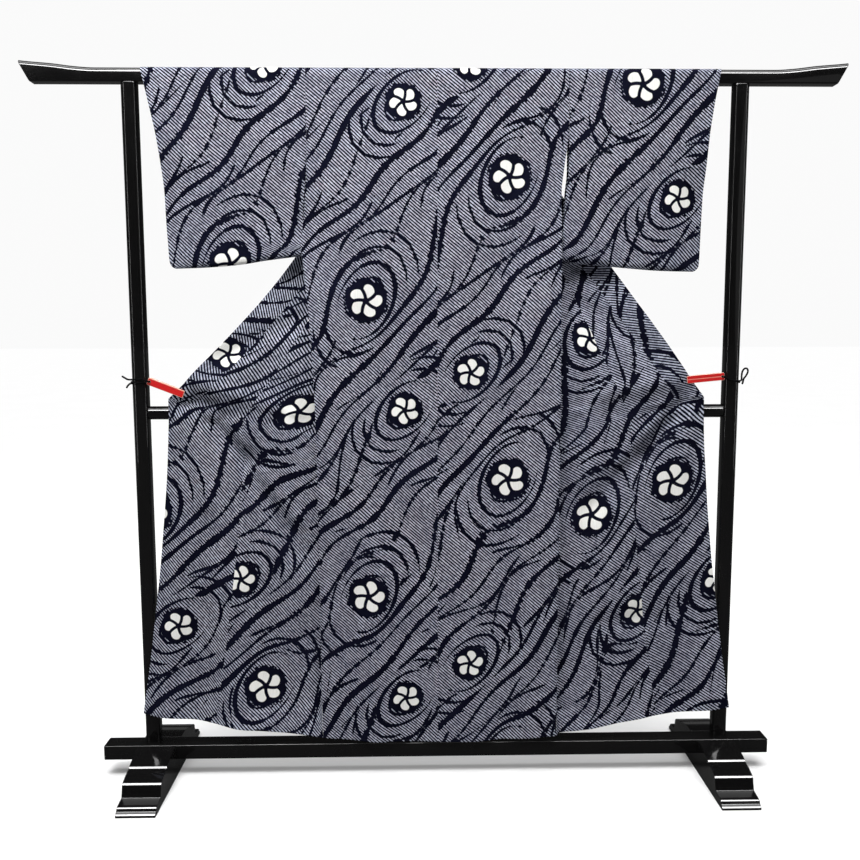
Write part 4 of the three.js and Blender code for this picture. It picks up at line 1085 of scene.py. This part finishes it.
def makeSleeve(side):
    points, away, bolt = refined(*sleeveRows(side), sleeveCut["rowStep"], sleeveCut["columnParts"])
    place = sleeveCut[side]
    u, v = sides[side] * away * mm + place["u"], bolt * mm + place["v"]
    piece = shell(f"sleeve_{side}_cloth", toWorld(points, sides[side]), cloth["shell"] * mm, u, v)
    dress(piece, cotton, f"sleeve_{side}")


collarCut = {"u": -0.1065, "v": 0.916, "ease": 0.09, "easeFrom": (-100, 250), "step": 5.0, "columnParts": 5,
             "thinEdge": 0.35, "flatness": 6, "leastFull": 0.02}


def makeCollar():
    # a doubled band: full in the middle, thin where it is sewn on and round at its folded edge
    c = collarCut
    points, away, along = refined(*collarRows(), c["step"], c["columnParts"])
    share = away / cut["collarWidth"]
    full = np.sqrt(np.clip(1 - np.abs(2 * share - 1) ** c["flatness"], c["leastFull"], 1))
    thick = cloth["collarShell"] * mm * lerp(c["thinEdge"], 1, full)
    v = along * mm + c["v"] + c["ease"] * smooth(along, *c["easeFrom"])
    piece = shell("collar_cloth", toWorld(points), thick, away * mm + c["u"], v)
    dress(piece, cotton, "collar")


for side in sides:
    makeBody(side)
    makeOkumi(side)
    makeSleeve(side)
makeCollar()
print("cloth made")


# the stand, in millimetres
stand = {"railTip": 966, "railTipUnder": 941, "railBottom": 1683.5, "railTop": 1716.5, "tipTop": 1732,
         "railDeep": 16.5, "railRound": 12, "railUnderRound": 4, "postX": 715, "postWide": 18, "postDeep": 17,
         "postRound": 10, "postEdge": 0.8, "barZ": 914, "barRound": 16, "barEdge": 0.5, "barSides": 48,
         "beamHalf": 835, "beamDeep": 24.4, "beamBottom": 45, "beamTop": 81, "footInner": 655, "footWide": 92,
         "edge": 1.5, "gap": 0.3, "cornerSteps": {"rail": 7, "post": 8, "beam": 4},
         "footEase": 0.0011, "footEaseFrom": 11, "footSharpFrom": 12}
railSweep = {"x": [0, 700, 790, 838, 885, 941], "rise": [0, 0, 0, 0.18, 0.55, 1], "from": 700, "stations": 40,
             "slant": 60, "easeIn": np.array([0, 0.09, 0.06]), "easeBack": 1.2}


def roundedRing(half, low, high, lowRound, highRound, steps):
    # round a rectangle with a quarter circle at each corner
    ring = []
    for sx, sz, start, r in ((1, 1, 0, highRound), (-1, 1, 90, highRound), (-1, -1, 180, lowRound),
                             (1, -1, 270, lowRound)):
        a = np.radians(start + 90 * np.arange(steps + 1) / steps)
        cz = high - r if sz > 0 else low + r
        ring.append(np.stack([sx * (half - r) + r * np.cos(a), cz + r * np.sin(a)], -1))
    return np.concatenate(ring)


def tubePiece(name, rings, sharp=30):
    # rings of equal count joined in quads, each end closed by a fan about its middle
    count, around = rings.shape[:2]
    grid = np.arange(count * around).reshape(count, around)
    nextOne = np.roll(grid, -1, axis=1)
    sideFaces = np.stack([grid[:-1], nextOne[:-1], nextOne[1:], grid[1:]], -1).reshape(-1, 4)
    points = np.concatenate([rings.reshape(-1, 3), rings[0].mean(0)[None], rings[-1].mean(0)[None]])
    even = np.arange(0, around, 2)
    ends = []
    for middle, ring in ((count * around, grid[0]), (count * around + 1, grid[-1][::-1])):
        fan = [np.full_like(even, middle)] + [ring[(even + step) % around] for step in (2, 1, 0)]
        ends.append(np.stack(fan, -1))
    return meshPiece(name, points, outward(points, np.concatenate([sideFaces] + ends)), sharp=sharp)


def barPiece(name, ringAt, start, end, edge, steps=3, keepFlat=2):
    # stations with their rims drawn in by a quarter circle at both ends, then one that keeps the length flat
    a = np.radians(90 * np.arange(steps + 1) / steps)
    inset = edge * (1 - np.sin(a))
    moved = edge * (1 - np.cos(a))
    rings = [ringAt(start + m, i) for m, i in zip(moved, inset)]
    rings += [ringAt(start + edge + keepFlat, 0), ringAt(end - edge - keepFlat, 0)]
    rings += [ringAt(end - m, i) for m, i in zip(moved[::-1], inset[::-1])]
    return tubePiece(name, np.array(rings) * mm)


def makeRail():
    s, sweep = stand, railSweep
    tip = np.linspace(sweep["from"], s["railTipUnder"], sweep["stations"])
    rings = []
    for x in np.concatenate([-tip[::-1], [-sweep["from"] / 2, 0, sweep["from"] / 2], tip]):
        rise = float(spline(sweep["x"], sweep["rise"], abs(x), limited=True))
        high = lerp(s["railTop"], s["tipTop"], rise)
        ring = roundedRing(s["railDeep"], s["railBottom"], high, s["railUnderRound"], s["railRound"],
                           s["cornerSteps"]["rail"])
        up = (ring[:, 1] - s["railBottom"]) / (high - s["railBottom"])
        slanted = smooth(abs(x), s["railTipUnder"] - sweep["slant"], s["railTipUnder"])
        reach = slanted * (s["railTip"] - s["railTipUnder"])
        rings.append(np.stack([x + np.sign(x) * up * reach, ring[:, 0], ring[:, 1]], -1))
    rings = np.array(rings)
    for end, inner in ((0, 1), (-1, -2)):
        middle = rings[end].mean(0)
        rim = rings[end].copy()
        rings[end] = lerp(rim, middle, sweep["easeIn"])
        rings[inner] = rim - np.array([np.sign(middle[0]) * sweep["easeBack"], 0, 0])
    return tubePiece("rail_lacquered", rings * mm)


def makePost(side):
    s = stand
    ring = roundedRing(s["postWide"], -s["postDeep"], s["postDeep"], s["postRound"], s["postRound"],
                       s["cornerSteps"]["post"])

    def at(z, inset):
        scale = 1 - inset / s["postWide"]
        return np.stack([sides[side] * s["postX"] + ring[:, 0] * scale, ring[:, 1] * scale,
                         np.full(len(ring), z)], -1)

    return barPiece(f"post_{side}_lacquered", at, s["beamTop"] + s["gap"], s["railBottom"] - s["gap"],
                    s["postEdge"])


def makeCrossbar():
    s = stand
    a = np.linspace(0, 2 * math.pi, s["barSides"], endpoint=False)
    half = s["postX"] - s["postWide"] - s["gap"]

    def at(x, inset):
        r = s["barRound"] - inset
        return np.stack([np.full(len(a), x), r * np.cos(a), s["barZ"] + r * np.sin(a)], -1)

    return barPiece("crossbar_lacquered", at, -half, half, s["barEdge"])


def makeBeam():
    s = stand
    middle, halfHigh = (s["beamTop"] + s["beamBottom"]) / 2, (s["beamTop"] - s["beamBottom"]) / 2
    ring = roundedRing(s["beamDeep"], s["beamBottom"], s["beamTop"], s["edge"], s["edge"],
                       s["cornerSteps"]["beam"])

    def at(x, inset):
        return np.stack([np.full(len(ring), x), ring[:, 0] * (1 - inset / s["beamDeep"]),
                         middle + (ring[:, 1] - middle) * (1 - inset / halfHigh)], -1)

    return barPiece("beam_lacquered", at, -s["beamHalf"], s["beamHalf"], s["edge"])


# half of a foot's stepped outline: depth from its middle, height
footOutline = np.array([(52, 81), (66, 79), (84, 74), (106, 69), (110, 65), (134, 61), (156, 54), (160, 50),
                        (163, 38), (167, 26), (168.5, 23.2), (172, 22.5), (190, 20.5), (201, 19.3),
                        (204, 16.3), (207, 11), (211.5, 8.5), (215, 5)])


def easeEdges(piece, width, fromAngle):
    bevel = piece.modifiers.new("easedEdges", "BEVEL")
    bevel.width, bevel.segments, bevel.limit_method = width, 3, "ANGLE"
    bevel.angle_limit = math.radians(fromAngle)
    return bevel


def reworked(mesh, change):
    # a mesh passed through the edit tools
    work = bmesh.new()
    work.from_mesh(mesh)
    change(work)
    work.to_mesh(mesh)
    work.free()


def makeFoot(side):
    # the stepped outline drawn in depth and height, carried across the foot, its edges eased by a bevel
    s = stand
    notch, notchZ, reach = s["beamDeep"] + s["gap"], s["beamBottom"] - s["gap"], footOutline[-1, 0]
    ring = np.concatenate([[(-reach, 0), (reach, 0)], footOutline[::-1],
                           [(notch, s["beamTop"]), (notch, notchZ), (-notch, notchZ), (-notch, s["beamTop"])],
                           footOutline * np.array([-1, 1])])
    start = s["footInner"] if side == "right" else -s["footInner"] - s["footWide"]
    count = len(ring)
    ends = [np.column_stack([np.full(count, x), ring]) for x in (start, start + s["footWide"])]
    index = np.arange(count)
    after = (index + 1) % count
    quads = np.stack([index, after, after + count, index + count], -1).tolist()
    mesh = bpy.data.meshes.new(f"foot_{side}_lacquered")
    mesh.from_pydata((np.concatenate(ends) * mm).tolist(), [],
                     quads + [index[::-1].tolist(), (index + count).tolist()])
    reworked(mesh, lambda work: bmesh.ops.recalc_face_normals(work, faces=work.faces))
    mesh.polygons.foreach_set("use_smooth", np.ones(len(mesh.polygons), bool))
    mesh.set_sharp_from_angle(angle=math.radians(s["footSharpFrom"]))
    piece = addObject(mesh.name, mesh)
    easeEdges(piece, s["footEase"], s["footEaseFrom"]).harden_normals = True
    return piece


for piece, node in ((makeRail(), "rail"), (makeCrossbar(), "crossbar"), (makeBeam(), "beam")):
    dress(piece, lacquer, node)
for side in sides:
    dress(makePost(side), lacquer, f"post_{side}")
    dress(makeFoot(side), lacquer, f"foot_{side}")
print("stand made")

# clips: the jaws keep the solids' outline, with eased edges painted pale as their highlight and a paler band
# painted along each jaw as its highlight
clip = {"length": 90, "halfHeight": 9, "ease": 0.0018, "easeFrom": 50, "merge": 1e-5, "flatWithin": 1,
        # where across each jaw the painted highlight band lies
        "bandAt": {"left": 0.80, "right": 0.0},
        "left": {"tail": (-688, 993.5), "tip": (-606, 961.5)},
        "right": {"tail": (688, 1000), "tip": (603, 992)}}


def cleaned(work):
    # joined corners and whole flat faces
    flat = math.radians(clip["flatWithin"])
    bmesh.ops.remove_doubles(work, verts=work.verts, dist=clip["merge"])
    bmesh.ops.dissolve_limit(work, angle_limit=flat, verts=work.verts, edges=work.edges)


def makeJaw(side, jaw):
    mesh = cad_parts[f"clip_{side}_{jaw}"].data.copy()
    piece = addObject(f"clip_{side}_{jaw}_jaw", mesh)
    reworked(mesh, cleaned)
    mesh.update()
    for layer in list(mesh.uv_layers):
        mesh.uv_layers.remove(layer)
    # clip map: share along the jaw, then how far across it a point is from the paler band painted as the
    # highlight
    tail, tip = (np.array(clip[side][k]) * mm for k in ("tail", "tip"))
    ahead = (tip - tail) / np.linalg.norm(tip - tail)
    co = np.empty(len(mesh.vertices) * 3, np.float32)
    mesh.vertices.foreach_get("co", co)
    offset = co.reshape(-1, 3)[:, [0, 2]] - tail
    across = (offset[:, 1] * ahead[0] - offset[:, 0] * ahead[1]) / (clip["halfHeight"] * mm)
    mapped = np.stack([offset @ ahead / (clip["length"] * mm), across - clip["bandAt"][side]], -1)
    addMap(mesh, "clip", mapped[cornerPoints(mesh)])
    dress(piece, clipRed, f"clip_{side}_{jaw}")
    # the bevel's eased edges take the second material, their pale painted highlight
    mesh.materials.append(clipEdgePaintedHighlight)
    mesh.polygons.foreach_set("material_index", np.zeros(len(mesh.polygons), np.int32))
    easeEdges(piece, clip["ease"], clip["easeFrom"]).material = 1


for side in sides:
    for jaw in ("front", "back"):
        makeJaw(side, jaw)
    coat(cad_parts[f"clip_{side}_pin"], pinSteel)
print("clips made")

# ties: the routes of the solids, in millimetres from the centre line
tie = {"radius": 2.2, "around": 12, "step": 1.1, "samples": 600, "spacing": 0.5, "endRound": 0.96,
       "aside": np.array([0.13, 0.21, 0.97])}
tieRoutes = {
    "left": [(756, -14, 1004), (748, -16, 999.5), (741, -17, 996), (734, -19.5, 995.5), (724, -21, 996),
             (714, -20.5, 996), (704, -24, 996.5), (694, -36, 995), (685, -44, 992.5), (683.2, -38, 991.6),
             (683.2, -27, 991.6), (686, -18, 992), (693.5, -8, 993), (694.5, 4, 993), (699, 16, 993),
             (708, 20, 992.5), (722, 20, 992), (731, 17, 991), (735.5, 6, 990), (735.5, -7, 989),
             (731, -16.5, 988.5), (722, -19.8, 988.5), (708, -19.8, 988), (698.5, -16, 987),
             (694.6, -6, 986.5), (694.6, 6, 986), (699, 17, 985.5), (709, 20.5, 985), (722, 20.5, 984.5),
             (732, 17, 984.5), (736.5, 5, 985), (739, -7, 985), (742, -14, 981), (745, -17, 975)],
    "right": [(738, -4, 983), (736.5, 4, 984.5), (732, 16.5, 985.5), (722, 20, 986.5), (708, 20, 988),
              (699, 16.5, 990), (694.8, 5, 993), (693.8, -8, 996), (687, -18, 999), (683.2, -27, 999.6),
              (683.2, -38, 999.6), (685, -44, 998.6), (694, -36, 995), (704, -24, 991), (714, -20.5, 989),
              (724, -20.5, 988), (734, -17.5, 988), (739, -12, 991), (740, -9, 1000), (742, -8, 1010),
              (747, -8, 1017), (753, -8, 1017), (755, -9, 1010), (750, -11, 1000), (744.5, -12, 993),
              (743, -11, 985), (742, -9, 979)],
}


def makeTie(side):
    # a round section carried along a smooth line through the route, its ends rounded off
    route = np.array(tieRoutes[side], float) * np.array([sides[side], 1, 1])
    gaps = np.linalg.norm(np.diff(route, axis=0), axis=1)
    chord = np.concatenate([[0], np.cumsum(gaps ** tie["spacing"])])
    line = spline(chord, route, np.linspace(0, chord[-1], tie["samples"]))
    length = runLength(line)
    at = np.linspace(0, length[-1], int(length[-1] / tie["step"]))
    line = np.stack([np.interp(at, length, line[:, k]) for k in range(3)], -1)
    ahead = unit(np.gradient(line, axis=0))
    across = unit(np.cross(ahead, tie["aside"]))
    above = np.cross(ahead, across)
    around = tie["around"]
    a = np.linspace(0, 2 * math.pi, around + 1)[:-1, None]
    fromEnd = np.minimum(at, length[-1] - at)
    radius = tie["radius"] * np.sqrt(1 - np.clip(1 - fromEnd / tie["radius"], 0, tie["endRound"]) ** 2)
    rings = line[:, None] + (across[:, None] * np.cos(a) + above[:, None] * np.sin(a)) * radius[:, None, None]
    piece = tubePiece(f"tie_{side}_cord", rings * mm, sharp=None)
    # cord map: metres along, then the turn, where the last cell runs on to 1 instead of back to 0
    corners = cornerPoints(piece.data)
    turn = (corners % around) / around
    cells = turn.reshape(-1, 4)
    last = np.repeat((cells.max(1) > 0.8) & (cells.min(1) < 0.05), 4)
    turn = np.where(last & (turn < 0.05), 1.0, turn)
    addMap(piece.data, "cord", np.stack([at[np.minimum(corners // around, len(at) - 1)] * mm, turn], -1))
    dress(piece, cordBlack, f"tie_{side}")
    print(f"tie {side}: {length[-1] * mm:.3f} m")


for side in sides:
    makeTie(side)
print("ties made")

# floor and light
studio = {"floorSize": 60.0, "floor": (0.93, 0.93, 0.93, 1), "floorCloud": (0.90, 0.90, 0.90, 1),
          "floorBounce": (0.25, 0.25, 0.25, 1), "floorGloss": (0.07, 0.07, 0.07, 1), "room": 0.26,
          "seen": 0.96, "gloss": 0.02, "sun": 2.6, "sunSpread": 50, "sunTilt": 11}


def makeFloor():
    # a pale floor to the camera, dimmer to the light it sends back and to reflections
    points = np.array([(-1, -1, 0), (1, -1, 0), (1, 1, 0), (-1, 1, 0)], float) * studio["floorSize"]
    piece = meshPiece("studio_floor", points, np.array([[0, 1, 2, 3]]))
    material, tree, shader = newMaterial("pale_floor", {"Roughness": 1.0, "Specular IOR Level": 0.0})
    dust = useGroup(fineDust, objectPlace(tree), {"Cloud Scale": 1.5, "Speck Scale": 90.0})
    seen = blendColor(times(dust["Cloud"], 0.3), studio["floor"], studio["floorCloud"])
    rays = addNode(tree, "ShaderNodeLightPath").outputs
    unseen = blendColor(rays["Is Glossy Ray"], studio["floorBounce"], studio["floorGloss"])
    fill(shader, {"Base Color": blendColor(rays["Is Camera Ray"], unseen, seen)})
    piece.data.materials.append(material)


# a glint lamp only shows in reflections, and one without glint never does
lamps = [
    {"name": "keyLight", "at": (-0.95, -1.30, 2.75), "to": (-0.30, 0.0, 1.45), "size": 0.8, "power": 21},
    {"name": "fillLight", "at": (2.4, -2.4, 1.6), "to": (0.1, 0.0, 0.9), "size": 1.8, "power": 2},
    {"name": "backLight", "at": (0.6, 2.8, 3.0), "to": (0.0, 0.0, 1.0), "size": 2.4, "power": 34,
     "noGlint": True},
    {"name": "topLight", "at": (-0.1, -1.15, 3.2), "to": (0.0, 0.0, 0.9), "size": 2.4, "deep": 0.12,
     "power": 32},
    {"name": "topGlint", "at": (0.0, -1.95, 3.2), "to": (0.0, 0.0, 0.9), "size": 4.4, "deep": 0.5,
     "power": 260, "glintOnly": True},
    {"name": "leftGlint", "at": (-2.2, -2.2, 1.5), "to": (0.0, 0.0, 1.1), "size": 0.08, "deep": 2.2,
     "power": 9, "glintOnly": True},
    {"name": "rightGlint", "at": (2.4, -1.6, 1.5), "to": (0.0, 0.0, 1.1), "size": 0.08, "deep": 2.2,
     "power": 9, "glintOnly": True},
]


def makeLamps():
    for lamp in lamps:
        data = bpy.data.lights.new(lamp["name"], "AREA")
        data.shape = "RECTANGLE" if "deep" in lamp else "DISK"
        data.size, data.size_y, data.energy = lamp["size"], lamp.get("deep", lamp["size"]), lamp["power"]
        light = addObject(lamp["name"], data)
        back = unit(np.array(lamp["at"]) - np.array(lamp["to"]))
        right = unit(np.cross(np.array([0, 0, 1.0]), back))
        light.matrix_world = turnedTo(right, np.cross(back, right), back, lamp["at"])
        light.visible_diffuse = not lamp.get("glintOnly", False)
        light.visible_glossy = not lamp.get("noGlint", False)
    # a broad light from above keeps the floor pale out to the horizon
    data = bpy.data.lights.new("ceilingLight", "SUN")
    data.energy, data.angle = studio["sun"], math.radians(studio["sunSpread"])
    addObject("ceilingLight", data).rotation_euler = (math.radians(studio["sunTilt"]), 0, 0)


def makeWorld():
    # an even white room, dimmer to glossy reflections so that the lacquer stays black
    world = bpy.data.worlds.new("studio")
    bpy.context.scene.world = world
    world.use_nodes = True
    rays = addNode(world.node_tree, "ShaderNodeLightPath").outputs
    seen = scaled(rays["Is Camera Ray"], studio["seen"] - studio["room"], studio["room"])
    strength = scaled(rays["Is Glossy Ray"], studio["gloss"] - studio["room"], seen)
    fill(world.node_tree.nodes["Background"], {"Color": (1, 1, 1, 1), "Strength": strength})


makeFloor()
makeLamps()
makeWorld()
bpy.context.scene.view_settings.view_transform = "Standard"
print("studio made")
